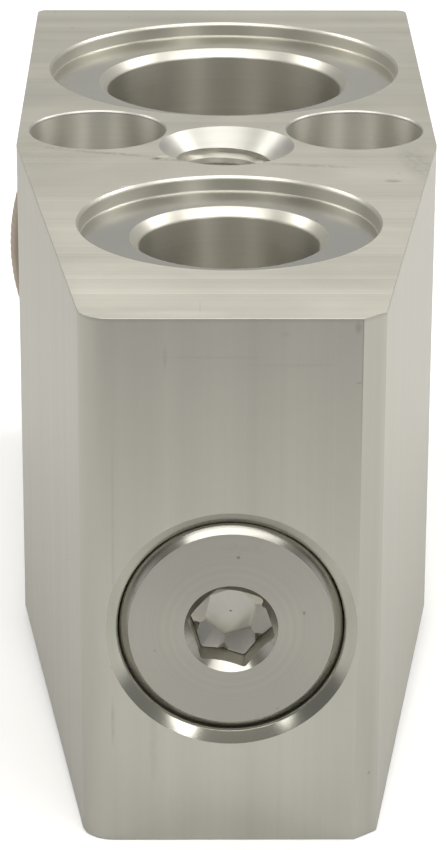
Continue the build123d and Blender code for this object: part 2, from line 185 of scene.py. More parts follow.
def eased(corners: Sequence[tuple[float, float, float]], steps: int = 4) -> np.ndarray:
    """A profile with its corners rounded off.

    Each corner is (radius, depth, ease). Between the two points that lie ease away from the
    corner, the line follows the parabola (1-t)^2 A + 2t(1-t) C + t^2 B.

    Args:
        corners: the profile's corners with their ease.
        steps: number of points that round a corner, less one.

    Returns:
        The rounded profile as rows of radius and depth.
    """
    table = np.array(corners, float)
    here, ease = table[:, :2], table[:, 2:3]
    before, after = np.roll(here, 1, 0), np.roll(here, -1, 0)
    before[0], after[-1] = here[0], here[-1]

    def towards(other: np.ndarray) -> np.ndarray:
        """The point that lies the ease away from each corner, towards another.

        Args:
            other: the points on the other side of each corner's line.

        Returns:
            A point for each corner.
        """
        way = other - here
        length = np.maximum(np.linalg.norm(way, axis=1, keepdims=True), 1e-9)
        return here + way * np.minimum(ease / length, 0.5)

    t = np.linspace(0, 1, steps + 1)[None, :, None]
    start, end = towards(before)[:, None], towards(after)[:, None]
    curve = (1 - t) ** 2 * start + 2 * t * (1 - t) * here[:, None] + t**2 * end
    line = curve.reshape(-1, 2)
    keep = np.r_[True, np.linalg.norm(np.diff(line, axis=0), axis=1) > 1e-6]
    return line[keep]


def lathe(
    profile: np.ndarray,
    centre: Point,
    heading: Heading,
    segments: int = 96,
    closed: bool = False,
    ripple: Ripple | None = None,
    finish: Callable[[np.ndarray], np.ndarray] | None = None,
) -> Shell:
    """A turned shape: its profile carried round an axis.

    A point is centre + r (cos a U + sin a V) + d W, for the profile's radius r and depth d
    and the angle a. Rows on the axis shrink to one point.

    Args:
        profile: rows of radius and depth.
        centre: where radius and depth are nought.
        heading: the axis, as the way that the depth runs.
        segments: number of points round the axis.
        closed: whether the profile is a loop, as in a ring.
        ripple: gives what is added to the radius, from the angle and the depth.
        finish: gives a finish number for each row of faces, from their middle points.

    Returns:
        The turned shell.
    """
    across, along, axis = heading.basis
    angle = np.arange(segments) * TURN / segments
    radius = np.repeat(profile[:, :1], segments, 1)
    depth = np.repeat(profile[:, 1:], segments, 1)
    if ripple is not None:
        radius = radius + np.where(radius > 0, ripple(angle[None, :], depth), 0)
    points = (
        np.array(centre, float)
        + (radius * np.cos(angle))[..., None] * across
        + (radius * np.sin(angle))[..., None] * along
        + depth[..., None] * axis
    )
    rows = len(profile)
    faces = grid_faces(rows, segments, closed, True)
    following = np.roll(profile, -1, 0) if closed else profile[1:]
    middles = (profile[: len(following)] + following) / 2
    number = np.zeros(len(middles), int) if finish is None else finish(middles)
    numbers = np.repeat(number, segments)
    pole = np.repeat(profile[:, 0] <= 0, segments)
    first = (np.arange(rows * segments) // segments) * segments
    merged = np.where(pole, first, np.arange(rows * segments))
    faces = merged[faces]
    used = np.unique(faces)
    renumber = np.zeros(rows * segments, int)
    renumber[used] = np.arange(len(used))
    neat = [list(dict.fromkeys(face)) for face in renumber[faces].tolist()]
    kept = [index for index, face in enumerate(neat) if len(face) > 2]
    return Shell(
        points.reshape(-1, 3)[used],
        [neat[index] for index in kept],
        numbers[kept].tolist(),
    ).outward()


def thread_wave(
    angle: np.ndarray, depth: np.ndarray, pitch: float, crest: float, flank: float
) -> np.ndarray:
    """A thread's height, as a share of its full height.

    It is a flat-topped wave of depth / pitch - angle / turn: the crest, less the flank times
    the distance from the thread's middle, held between nought and one.

    Args:
        angle: angles round the axis.
        depth: depths along the axis.
        pitch: the thread's pitch.
        crest: how high the wave would rise at its middle.
        flank: how steeply it falls to both sides.

    Returns:
        The height at each angle and depth.
    """
    share = (depth / pitch - angle / TURN) % 1.0
    return np.clip(crest - np.abs(share - 0.5) * flank, 0, 1)


def swept_tube(path: np.ndarray, radius: float, sides: int = 20) -> Shell:
    """A round wire along a path, with flat ends.

    Each ring stands square to the path: its points are p + r (cos a N + sin a B), where N and
    B come from the path's direction and the valve axis.

    Args:
        path: rows of points along the wire's middle.
        radius: the wire's radius.
        sides: number of points round the wire.

    Returns:
        The wire's shell.
    """
    direction = np.gradient(path, axis=0)
    direction /= np.linalg.norm(direction, axis=1, keepdims=True)
    side = np.cross(direction, np.array([0.0, 1.0, 0.0]))
    side /= np.linalg.norm(side, axis=1, keepdims=True)
    other = np.cross(direction, side)
    angle = np.arange(sides) * TURN / sides
    ring = (
        path[:, None]
        + radius * np.cos(angle)[None, :, None] * side[:, None]
        + radius * np.sin(angle)[None, :, None] * other[:, None]
    )
    faces = grid_faces(len(path), sides, False, True).tolist()
    last = (len(path) - 1) * sides
    faces += [list(range(sides))[::-1], list(range(last, last + sides))]
    return Shell(ring.reshape(-1, 3), faces, [0] * len(faces)).outward()


@dataclass(frozen=True)
class Outline:
    """A many-sided outline with rounded corners, in the plane of X and Y."""

    corners: tuple[tuple[float, float], ...]
    radii: tuple[float, ...]
    steps: int = 10

    def ring(self, inset: float) -> np.ndarray:
        """The outline's points, moved inwards.

        Each corner's arc keeps its centre and loses the inset from its radius.

        Args:
            inset: how far inside the outline the ring lies.

        Returns:
            Rows of X and Y.
        """
        here = np.array(self.corners, float)
        radii = np.array(self.radii, float)[:, None]
        to_here = here - np.roll(here, 1, 0)
        from_here = np.roll(here, -1, 0) - here
        to_here /= np.linalg.norm(to_here, axis=1, keepdims=True)
        from_here /= np.linalg.norm(from_here, axis=1, keepdims=True)
        start = np.arctan2(-to_here[:, 0], to_here[:, 1])
        end = np.arctan2(-from_here[:, 0], from_here[:, 1])
        sweep = (end - start + np.pi) % TURN - np.pi
        bisector = from_here - to_here
        bisector /= np.linalg.norm(bisector, axis=1, keepdims=True)
        centre = here + bisector * radii / np.cos(sweep / 2)[:, None]
        share = np.linspace(0, 1, self.steps + 1)
        angle = start[:, None] + sweep[:, None] * share
        arc = np.stack([np.cos(angle), np.sin(angle)], -1)
        return (centre[:, None] + (radii - inset)[..., None] * arc).reshape(-1, 2)


def prism(outline: Outline, bottom: float, top: float, edge: float, steps: int = 3) -> Shell:
    """An upright block with softly broken edges.

    Its rings follow a quarter circle of the edge's size at each end: the inset is
    e (1 - sin t) at the height e (1 - cos t) above the end, for t from nought to a quarter turn.

    Args:
        outline: the block's outline.
        bottom: height of the bottom face.
        top: height of the top face.
        edge: size of the broken edge.
        steps: number of strips in a broken edge.

    Returns:
        The block's shell, with finish 0 on the sides and 1 on the two ends.
    """
    t = np.linspace(0, np.pi / 2, steps + 1)
    inset = edge * (1 - np.sin(t))
    rise = edge * (1 - np.cos(t))
    levels = np.r_[bottom + rise, (top - rise)[::-1]]
    insets = np.r_[inset, inset[::-1]]
    rings = [
        np.column_stack([flat := outline.ring(step), np.full(len(flat), level)])
        for step, level in zip(insets, levels)
    ]
    count = len(rings[0])
    faces = grid_faces(len(rings), count, False, True).tolist()
    finishes = [0] * len(faces)
    last = (len(rings) - 1) * count
    faces += [list(range(count))[::-1], list(range(last, last + count))]
    return Shell(np.concatenate(rings), faces, finishes + [1, 1]).outward()


# Meshes


def mesh_object(
    name: str, shell: Shell, materials: Sequence[bpy.types.Material]
) -> bpy.types.Object:
    """Puts a shell into a mesh, with its place in its points.

    Args:
        name: the object's name.
        shell: the surface.
        materials: one material for each finish number.

    Returns:
        The linked object.
    """
    mesh = bpy.data.meshes.new(name)
    mesh.from_pydata((shell.points * MM).tolist(), [], shell.faces)
    for material in materials:
        mesh.materials.append(material)
    mesh.polygons.foreach_set("material_index", np.array(shell.finishes, np.int32))
    mesh.validate()
    soften(mesh)
    piece = bpy.data.objects.new(name, mesh)
    bpy.context.scene.collection.objects.link(piece)
    return piece


def soften(mesh: bpy.types.Mesh) -> None:
    """Shades a mesh smooth, with sharp edges where two faces meet at a clear angle."""
    mesh.shade_smooth()
    mesh.set_sharp_from_angle(angle=SHARP_ANGLE)


def carve(piece: bpy.types.Object, cutters: Iterable[bpy.types.Object]) -> None:
    """Takes each cutter's room out of a piece, and keeps the cutter's finish on the cut.

    Args:
        piece: the object to cut.
        cutters: closed objects, which are removed afterwards.
    """
    tools = list(cutters)
    for tool in tools:
        cut = piece.modifiers.new(tool.name, "BOOLEAN")
        cut.operation = "DIFFERENCE"
        cut.solver = "EXACT"
        cut.material_mode = "TRANSFER"
        cut.object = tool
    graph = bpy.context.evaluated_depsgraph_get()
    made = bpy.data.meshes.new_from_object(piece.evaluated_get(graph))
    piece.modifiers.clear()
    piece.data = made
    soften(made)
    for tool in tools:
        bpy.data.objects.remove(tool)


def level_shading(piece: bpy.types.Object) -> None:
    """Weights a piece's normals by face area, so that flat faces stay flat to their edges."""
    weigh = piece.modifiers.new("level_shading", "WEIGHTED_NORMAL")
    weigh.keep_sharp = True


# Shader nodes


class NodeSheet:
    """Adds nodes to a tree, and links whatever sockets it is given."""

    def __init__(self, tree: bpy.types.NodeTree) -> None:
        """Takes the tree to draw in."""
        self.tree = tree

    def add(self, kind: str, inputs: dict | None = None, **settings: object) -> bpy.types.Node:
        """Adds a node.

        Args:
            kind: the node's type name.
            inputs: values or output sockets, by input name or number.
            **settings: attributes of the node.

        Returns:
            The node.
        """
        node = self.tree.nodes.new(kind)
        for key, value in settings.items():
            setattr(node, key, value)
        for key, value in (inputs or {}).items():
            if isinstance(value, bpy.types.NodeSocket):
                self.tree.links.new(value, node.inputs[key])
            else:
                node.inputs[key].default_value = value
        return node

    def dot(self, vector: bpy.types.NodeSocket, row: Point) -> bpy.types.NodeSocket:
        """How far a vector reaches along a fixed direction."""
        node = self.add("ShaderNodeVectorMath", {0: vector, 1: row}, operation="DOT_PRODUCT")
        return node.outputs["Value"]

    def maths(self, operation: str, *values: object, clamp: bool = False) -> bpy.types.NodeSocket:
        """The result of a Math node.

        Args:
            operation: the node's operation.
            *values: its values or sockets, in order.
            clamp: whether the result is held between nought and one.

        Returns:
            The result's socket.
        """
        inputs = dict(enumerate(values))
        node = self.add("ShaderNodeMath", inputs, operation=operation, use_clamp=clamp)
        return node.outputs[0]

    def spread(
        self, value: bpy.types.NodeSocket, low: float, high: float, out: tuple[float, float]
    ) -> bpy.types.NodeSocket:
        """A value mapped from one range to another, clamped."""
        inputs = {"Value": value, 1: low, 2: high, 3: out[0], 4: out[1]}
        return self.add("ShaderNodeMapRange", inputs).outputs[0]

    def noise(self, inputs: dict, **settings: object) -> bpy.types.NodeSocket:
        """The value of a Noise Texture node."""
        return self.add("ShaderNodeTexNoise", inputs, **settings).outputs[0]

    def graded(self, value: bpy.types.NodeSocket, grade: Grade) -> bpy.types.NodeSocket:
        """A value that changes as a grade says."""
        begins, ends, first, last = grade
        return self.spread(value, begins, ends, (first, last))

    def group(self, tree: bpy.types.NodeTree, inputs: dict) -> bpy.types.Node:
        """Adds a node group with its inputs."""
        return self.add("ShaderNodeGroup", inputs, node_tree=tree)


def new_material(name: str) -> tuple[bpy.types.Material, NodeSheet, bpy.types.NodeSocket]:
    """Starts a material with an empty sheet.

    Args:
        name: the material's name.

    Returns:
        The material, its sheet and the place on the object.
    """
    material = bpy.data.materials.new(name)
    material.use_nodes = True
    material.node_tree.nodes.clear()
    sheet = NodeSheet(material.node_tree)
    return material, sheet, sheet.add("ShaderNodeTexCoord").outputs["Object"]


def new_group(
    name: str, inputs: dict[str, float | None], outputs: dict[str, str]
) -> tuple[bpy.types.NodeTree, NodeSheet, bpy.types.Node, bpy.types.Node]:
    """Starts a shader node group.

    Args:
        name: the group's name.
        inputs: default values by input name; None stands for a vector.
        outputs: socket types by output name.

    Returns:
        The group, its sheet, its input node and its output node.
    """
    tree = bpy.data.node_groups.new(name, "ShaderNodeTree")
    for key, value in inputs.items():
        kind = "NodeSocketVector" if value is None else "NodeSocketFloat"
        socket = tree.interface.new_socket(key, in_out="INPUT", socket_type=kind)
        if value is not None:
            socket.default_value = value
    for key, kind in outputs.items():
        tree.interface.new_socket(key, in_out="OUTPUT", socket_type=kind)
    sheet = NodeSheet(tree)
    return tree, sheet, sheet.add("NodeGroupInput"), sheet.add("NodeGroupOutput")


def line_group() -> bpy.types.NodeTree:
    """Tool marks across one coordinate: coarse and fine lines that fade in and out.

    Position is the coordinate across the lines and Vector the place, both in metres.

    Returns:
        The node group.
    """
    tree, sheet, given, result = new_group(
        "tool_lines",
        {"Vector": None, "Position": 0.0, "Spacing": 0.0002, "Waver": 0.0},
        {"Height": "NodeSocketFloat", "Streak": "NodeSocketFloat", "Band": "NodeSocketFloat"},
    )
    out = given.outputs
    drift = sheet.noise({"Vector": out["Vector"], "Scale": DRIFT_SCALE, "Detail": 2.0})
    shift = sheet.maths("MULTIPLY", sheet.maths("SUBTRACT", drift, 0.5), out["Waver"])
    place = sheet.maths("DIVIDE", sheet.maths("ADD", out["Position"], shift), out["Spacing"])
    narrow = {"W": place, "Scale": 1.0, "Detail": 3.0, "Roughness": 0.62}
    fine = sheet.noise(narrow, noise_dimensions="1D")
    slower = {"W": sheet.maths("MULTIPLY", place, BAND_RATE), "Scale": 1.0, "Detail": 2.0}
    wide = sheet.noise(slower, noise_dimensions="1D")
    fade = sheet.graded(drift, LINES_FADE)
    broad = sheet.maths("MULTIPLY", wide, 1 - FINE_SHARE)
    streak = sheet.maths("MULTIPLY_ADD", fine, FINE_SHARE, broad)
    links = tree.links
    links.new(sheet.maths("MULTIPLY", fine, fade), result.inputs["Height"])
    links.new(streak, result.inputs["Streak"])
    links.new(wide, result.inputs["Band"])
    return tree


def handling_group() -> bpy.types.NodeTree:
    """Handling marks: soft cloudy smudges, and small dark nicks.

    Returns:
        The node group.
    """
    tree, sheet, given, result = new_group(
        "handling_marks",
        {"Vector": None, "Smudge size": 0.01, "Nick size": 0.0016},
        {"Smudge": "NodeSocketFloat", "Nick": "NodeSocketFloat"},
    )
    out = given.outputs
    smudges = {
        "Vector": out["Vector"],
        "Scale": sheet.maths("DIVIDE", 1.0, out["Smudge size"]),
        "Detail": 4.0,
        "Roughness": 0.55,
        "Distortion": 0.6,
    }
    cloud = sheet.noise(smudges)
    cell = sheet.add(
        "ShaderNodeTexVoronoi",
        {"Vector": out["Vector"], "Scale": sheet.maths("DIVIDE", 1.0, out["Nick size"])},
    )
    rare = sheet.add("ShaderNodeSeparateColor", {0: cell.outputs["Color"]})
    chosen = sheet.maths("GREATER_THAN", rare.outputs[0], NICKS_LEFT_OUT)
    small = sheet.graded(cell.outputs["Distance"], NICK_EDGE)
    tree.links.new(cloud, result.inputs["Smudge"])
    tree.links.new(sheet.maths("MULTIPLY", chosen, small), result.inputs["Nick"])
    return tree


def mark_group() -> bpy.types.NodeTree:
    """One mark on a face: a soft ellipse with a broken rim, dark or, below nought, bright.

    Returns:
        The node group.
    """
    tree, sheet, given, result = new_group(
        "single_mark",
        {"Vector": None, "Centre": None, "Turn": None, "Size": None, "Shade": 0.1, "Broken": 0.5},
        {"Shade": "NodeSocketFloat"},
    )
    out = given.outputs
    inside = sheet.add(
        "ShaderNodeMapping",
        {
            "Vector": out["Vector"],
            "Location": out["Centre"],
            "Rotation": out["Turn"],
            "Scale": out["Size"],
        },
        vector_type="TEXTURE",
    )
    length = sheet.add("ShaderNodeVectorMath", {0: inside.outputs[0]}, operation="LENGTH")
    grit = sheet.noise({"Vector": out["Vector"], "Scale": GRIT_SCALE, "Detail": 2.0})
    gaps = sheet.graded(grit, MARK_GAPS)
    loss = sheet.maths("MULTIPLY", gaps, out["Broken"])
    full = sheet.graded(length.outputs["Value"], MARK_EDGE)
    kept = sheet.maths("MULTIPLY", full, sheet.maths("SUBTRACT", 1.0, loss))
    tree.links.new(sheet.maths("MULTIPLY", kept, out["Shade"]), result.inputs["Shade"])
    return tree


@dataclass(frozen=True)
class Mark:
    """A mark on a face, of wear or of painted light and shade: where it is, its half sizes, its
    turn and how dark it is.
    """

    centre: Point
    size: Point
    shade: float
    turn: float = 0.0
    broken: float = 0.5


@dataclass(frozen=True)
class MetalFinish:
    """A worked metal face: its colour and gloss, and the marks of its tool."""

    name: str
    colour: Colour
    roughness: float
    grain: Grain
    spacing: float = 0.2
    depth: float = 0.0008
    centre: Point = (0, 0, 0)
    heading: Heading = Heading.UP
    anisotropy: float = 0.6
    streak_tint: float = 0.1
    streak_gloss: float = 0.12
    smudge_tint: float = 0.05
    smudge_gloss: float = 0.1
    nicks: float = 0.25
    waver: float = 0.05
    band_tint: float = 0.0
    # painted shade: a dark line just below the hose face's edge
    edge_painted_shade: float = 0.0
    # painted light and shade: a slow change of brightness along Y
    fade: Grade | None = None
    marks: tuple[Mark, ...] = ()

    def build(self, shared: "Shared") -> bpy.types.Material:
        """Makes the material.

        The place on the face is turned into the tool's own frame, where Z is its axis. Rings
        count by the distance from the axis, hoops by the place along it, and straight lines
        by the place beside them. The gloss is stretched square to the lines, as grooves do.

        Args:
            shared: the node groups that the finishes have in common.

        Returns:
            The material.
        """
        material, sheet, place = new_material(self.name)
        centre = tuple(-MM * value for value in self.centre)
        local = sheet.add("ShaderNodeMapping", {"Vector": place, "Location": centre}).outputs[0]
        across, along, axis = (sheet.dot(local, row) for row in self.heading.value)
        lines = {
            "Vector": place,
            "Position": self.position(sheet, across, along, axis),
            "Spacing": self.spacing * MM,
            "Waver": self.waver * MM,
        }
        marks = sheet.group(shared.lines, lines)
        wear = sheet.group(shared.handling, {"Vector": place})
        streak = sheet.maths("SUBTRACT", marks.outputs["Streak"], 0.5)
        smudge = sheet.maths("SUBTRACT", wear.outputs["Smudge"], 0.5)
        nick = sheet.maths("MULTIPLY", wear.outputs["Nick"], self.nicks)
        light = sheet.maths("MULTIPLY_ADD", streak, self.streak_tint * 2, 1.0)
        light = sheet.maths("MULTIPLY_ADD", smudge, self.smudge_tint * 2, light)
        light = sheet.maths("SUBTRACT", light, nick)
        light = self.worn(sheet, shared, place, light, marks.outputs["Band"])
        tint = sheet.add(
            "ShaderNodeVectorMath", {0: self.colour, "Scale": light}, operation="SCALE"
        )
        gloss = sheet.maths("MULTIPLY_ADD", streak, self.streak_gloss, self.roughness)
        gloss = sheet.maths("MULTIPLY_ADD", smudge, self.smudge_gloss, gloss, clamp=True)
        ridges = {"Strength": 1.0, "Distance": self.depth * MM, "Height": marks.outputs["Height"]}
        surface = {
            "Base Color": tint.outputs[0],
            "Roughness": gloss,
            "Metallic": 1.0,
            "Normal": sheet.add("ShaderNodeBump", ridges).outputs[0],
        }
        if self.grain is not Grain.SPECKLED:
            surface["Anisotropic"] = self.anisotropy
            surface["Anisotropic Rotation"] = QUARTER_TURN if self.grain is Grain.DRAWN else 0.0
            surface["Tangent"] = self.tangent(sheet, local)
        shader = sheet.add("ShaderNodeBsdfPrincipled", surface)
        sheet.add("ShaderNodeOutputMaterial", {"Surface": shader.outputs[0]})
        return material

    def worn(
        self,
        sheet: NodeSheet,
        shared: "Shared",
        place: bpy.types.NodeSocket,
        light: bpy.types.NodeSocket,
        band: bpy.types.NodeSocket,
    ) -> bpy.types.NodeSocket:
        """Adds broad bands, painted shade along the upper edge, a slow fade along Y that paints
        light and shade, and single marks, which are wear or painted light and shade.

        Args:
            sheet: the material's sheet.
            shared: the node groups that the finishes have in common.
            place: the place on the face.
            light: the tint's strength so far.
            band: the tool's broad bands.

        Returns:
            The tint's strength with the wear.
        """
        if self.band_tint:
            centred = sheet.maths("SUBTRACT", band, 0.5)
            light = sheet.maths("MULTIPLY_ADD", centred, self.band_tint * 2, light)
        parts = sheet.add("ShaderNodeSeparateXYZ", {0: place}).outputs
        if self.edge_painted_shade:
            top = LAYOUT.top * MM
            below, full = EDGE_SHADE_DEPTH * MM, EDGE_SHADE_FULL * MM
            # painted shade: a dark line just below the hose face's edge
            film = sheet.spread(parts["Z"], top - below, top - full, (0.0, self.edge_painted_shade))
            light = sheet.maths("SUBTRACT", light, film)
        # painted light and shade: the face lighter at one end and darker at the other, along Y
        if self.fade:
            near, far, first, last = self.fade
            slow = sheet.graded(parts["Y"], (near * MM, far * MM, first, last))
            light = sheet.maths("MULTIPLY", light, slow)
        for mark in self.marks:
            values = {
                "Vector": place,
                "Centre": tuple(MM * value for value in mark.centre),
                "Turn": (0.0, 0.0, np.radians(mark.turn)),
                "Size": tuple(MM * value for value in mark.size),
                "Shade": mark.shade,
                "Broken": mark.broken,
            }
            light = sheet.maths("SUBTRACT", light, sheet.group(shared.mark, values).outputs[0])
        return light

    def position(
        self,
        sheet: NodeSheet,
        across: bpy.types.NodeSocket,
        along: bpy.types.NodeSocket,
        axis: bpy.types.NodeSocket,
    ) -> bpy.types.NodeSocket:
        """The coordinate that the tool's lines follow one another by.

        Args:
            sheet: the material's sheet.
            across: the place's first coordinate in the tool's frame.
            along: its second coordinate.
            axis: its coordinate along the tool's axis.

        Returns:
            The coordinate's socket, in metres.
        """
        if self.grain is Grain.RINGS:
            first, second = (sheet.maths("POWER", side, 2.0) for side in (across, along))
            return sheet.maths("SQRT", sheet.maths("ADD", first, second))
        if self.grain is Grain.HOOPS:
            return axis
        if self.grain is Grain.ACROSS:
            return along
        return sheet.maths("MULTIPLY_ADD", along, SECOND_WEIGHT, across)

    def tangent(self, sheet: NodeSheet, local: bpy.types.NodeSocket) -> bpy.types.NodeSocket:
        """The way that the gloss is stretched: from the axis outwards, or one fixed way.

        Args:
            sheet: the material's sheet.
            local: the place in the tool's frame.

        Returns:
            The direction's socket.
        """
        across, along, axis = self.heading.value
        if self.grain is Grain.RINGS:
            flat = tuple(1.0 - abs(value) for value in axis)
            node = sheet.add("ShaderNodeVectorMath", {0: local, 1: flat}, operation="MULTIPLY")
            return node.outputs[0]
        way = along if self.grain is Grain.ACROSS else axis
        return sheet.add("ShaderNodeCombineXYZ", dict(enumerate(map(float, way)))).outputs[0]


@dataclass(frozen=True)
class RubberFinish:
    """Matt black rubber with a fine moulded grain."""

    name: str = "seal_black"
    colour: Colour = (0.018, 0.019, 0.018)
    roughness: float = 0.55
    grain_size: float = 0.12
    depth: float = 0.01
    film: Grade = (0.4, 0.8, 0.0, 0.03)
    dust_gloss: float = 0.3

    def build(self, shared: "Shared") -> bpy.types.Material:
        """Makes the material: grain in the bump, and a thin dusty film on colour and gloss.

        Args:
            shared: the node groups that the finishes have in common.

        Returns:
            The material.
        """
        material, sheet, place = new_material(self.name)
        fine = {"Vector": place, "Scale": 1 / (self.grain_size * MM), "Detail": 3.0}
        grain = sheet.noise(fine)
        wear = sheet.group(shared.handling, {"Vector": place})
        film = sheet.graded(wear.outputs["Smudge"], self.film)
        dusty = sheet.add("ShaderNodeVectorMath", {0: self.colour, 1: film}, operation="ADD")
        clean = self.roughness - self.dust_gloss / 2
        gloss = sheet.maths("MULTIPLY_ADD", wear.outputs["Smudge"], self.dust_gloss, clean)
        relief = {"Strength": 0.6, "Distance": self.depth * MM, "Height": grain}
        bump = sheet.add("ShaderNodeBump", relief)
        shader = sheet.add(
            "ShaderNodeBsdfPrincipled",
            {"Base Color": dusty.outputs[0], "Roughness": gloss, "Normal": bump.outputs[0]},
        )
        sheet.add("ShaderNodeOutputMaterial", {"Surface": shader.outputs[0]})
        return material


class Shared:
    """The node groups that the finishes have in common."""

    def __init__(self) -> None:
        """Builds each group once."""
        self.lines = line_group()
        self.handling = handling_group()
        self.mark = mark_group()


# Sizes shared by the pieces


@dataclass(frozen=True)
class Layout:
    """The valve's main sizes and places, as in the part's source."""

    front: float = -45.5
    back: float = 34.5
    bottom: float = 3.0
    top: float = 41.4
    axis_height: float = 19.0
    widest: float = -6.1
    inlet: float = 20.65
    outlet: float = 37.0
    clamp: float = 39.2
    bolts: float = 43.45
    suction: float = 61.5

    def along(self, distance: float) -> float:
        """Y of a distance back from the front face."""
        return self.front + distance

    def on_axis(self, distance: float) -> Point:
        """The point of the valve axis at a distance back from the front face."""
        return (0.0, self.along(distance), self.axis_height)

    def on_top(self, distance: float, x: float = 0.0) -> Point:
        """The point of the hose face at a distance back from the front face."""
        return (x, self.along(distance), self.top)

    def underneath(self, distance: float) -> Point:
        """The point of the evaporator face at a distance back from the front face."""
        return (0.0, self.along(distance), self.bottom)


LAYOUT = Layout()
ALUMINIUM: Colour = (0.62, 0.602, 0.535)
DRAWN_ALUMINIUM: Colour = (0.585, 0.571, 0.508)
DARKER_ALUMINIUM: Colour = (0.53, 0.52, 0.48)
LEAD_IN: Colour = (0.555, 0.545, 0.472)
BORED_ALUMINIUM: Colour = (0.67, 0.65, 0.585)
CLEAN_CUT: Colour = (0.74, 0.72, 0.645)
STEEL: Colour = (0.486, 0.473, 0.423)
DARK_STEEL: Colour = (0.415, 0.403, 0.36)
CUT_STEEL: Colour = (0.64, 0.63, 0.575)
BROACHED_STEEL: Colour = (0.78, 0.765, 0.69)
CHIP_STEEL: Colour = (0.45, 0.435, 0.4)
STAINLESS: Colour = (0.6, 0.557, 0.498)
WELD: Colour = (0.45, 0.386, 0.322)
BRIGHT_STEEL: Colour = (0.60, 0.60, 0.58)


# Valve block


@dataclass(frozen=True)
class Port:
    """A port: a lipped sealing recess, a chamfered mouth, a pipe seat and a passage."""

    name: str
    centre: Point
    heading: Heading
    recess: float
    seat: float
    passage: float
    seat_depth: float
    bottom: float
    recess_depth: float = 1.15
    lip: float = 0.2
    chamfer: float = 0.65
    margin: float = 1.5
    floor_colour: Colour = ALUMINIUM

    def profile(self) -> np.ndarray:
        """The port's half section, from above the face down to its flat end.

        Returns:
            Rows of radius and depth.
        """
        return eased(
            [
                (0, -self.margin, 0),
                (self.recess + self.margin, -self.margin, 0),
                (self.recess - self.lip, self.lip, 0.12),
                (self.recess - self.lip, self.recess_depth, 0.16),
                (self.seat + self.chamfer, self.recess_depth, 0.1),
                (self.seat, self.recess_depth + self.chamfer, 0.12),
                (self.seat, self.seat_depth, 0),
                (self.passage, self.seat_depth, 0),
                (self.passage, self.bottom, 0),
                (0, self.bottom, 0),
            ]
        )

    def finish_of(self, middles: np.ndarray) -> np.ndarray:
        """The finish of each row of faces.

        Args:
            middles: the rows' middle points, as radius and depth.

        Returns:
            0 on the lip and walls, 1 on the recess's floor, 2 on the bore.
        """
        radius, depth = middles[:, 0], middles[:, 1]
        floor = (abs(depth - self.recess_depth) < 0.02) & (radius > self.seat)
        bore = depth > self.recess_depth + self.chamfer
        return np.where(bore, 2, np.where(floor, 1, 0))

    def cutter(self, shared: Shared) -> bpy.types.Object:
        """The port's cutting shape, with the finishes that it leaves.

        Args:
            shared: the node groups that the finishes have in common.

        Returns:
            The cutter.
        """
        common = {"centre": self.centre, "heading": self.heading}
        wall = MetalFinish(
            self.name + "_wall", ALUMINIUM, 0.38, Grain.HOOPS, 0.12, streak_gloss=0.05, **common
        )
        floor = MetalFinish(
            self.name + "_floor",
            self.floor_colour,
            0.2,
            Grain.RINGS,
            0.12,
            streak_tint=0.04,
            streak_gloss=0.03,
            smudge_tint=0.08,
            anisotropy=0.5,
            depth=0.0003,
            **common,
        )
        bore = MetalFinish(
            self.name + "_bore", BORED_ALUMINIUM, 0.38, Grain.HOOPS, 0.45, anisotropy=0.8, **common
        )
        shell = lathe(self.profile(), self.centre, self.heading, 192, finish=self.finish_of)
        return mesh_object(self.name, shell, [part.build(shared) for part in (wall, floor, bore)])


@dataclass(frozen=True)
class Passage:
    """The passage along the valve axis: radii, and depths back from the front face."""

    margin: float = 1.5
    mouth: float = 9.6
    lead_rim: float = 9.47
    lead_start: float = -0.49
    lead_foot: float = 7.8
    lead_end: float = 0.424
    thread_bore: float = 7.72
    thread_start: float = 0.6
    thread_end: float = 8.6
    seal_bore: float = 7.0
    seal_start: float = 9.32
    seal_end: float = 14.15
    chamber: float = 6.5
    chamber_end: float = 27.7
    cone_mouth: float = 2.6
    orifice: float = 1.7
    orifice_start: float = 28.6
    outlet: float = LAYOUT.outlet
    rod_bore: float = 2.85
    seal_pocket_floor: float = 48.3
    seal_pocket: float = 4.39
    suction: float = LAYOUT.suction
    neck_passage: float = 7.0
    neck_floor: float = 72.0
    neck_thread: float = 12.0
    groove_start: float = 78.6
    groove: float = 14.1
    back: float = LAYOUT.back - LAYOUT.front

    def finish_of(self, middles: np.ndarray) -> np.ndarray:
        """1 on the mouth's cones, 0 on the bores behind them."""
        return (middles[:, 1] < self.thread_start + 0.001).astype(int)

    def profile(self) -> np.ndarray:
        """Half section from the plug to the neck.

        Returns:
            Rows of radius and depth.
        """
        mouth = [
            (0, -self.margin, 0),
            (self.mouth, -self.margin, 0),
            (self.lead_rim, self.lead_start, 0),
            (self.lead_foot, self.lead_end, 0.05),
            (self.thread_bore, self.thread_start, 0.03),
        ]
        bores = (
            (self.thread_bore, self.thread_end, self.seal_bore, self.seal_start),
            (self.seal_bore, self.seal_end, self.chamber, self.seal_end),
            (self.chamber, self.chamber_end, self.cone_mouth, self.chamber_end),
            (self.orifice, self.orifice_start, self.orifice, self.outlet),
            (self.rod_bore, self.outlet, self.rod_bore, self.seal_pocket_floor),
            (self.seal_pocket, self.seal_pocket_floor, self.seal_pocket, self.suction),
            (self.neck_passage, self.suction, self.neck_passage, self.neck_floor),
            (self.neck_thread, self.neck_floor, self.neck_thread, self.groove_start),
            (self.groove, self.groove_start, self.groove, self.back + self.margin),
        )
        steps = [(radius, depth, 0) for row in bores for radius, depth in (row[:2], row[2:])]
        return eased(mouth + steps + [(0, self.back + self.margin, 0)])


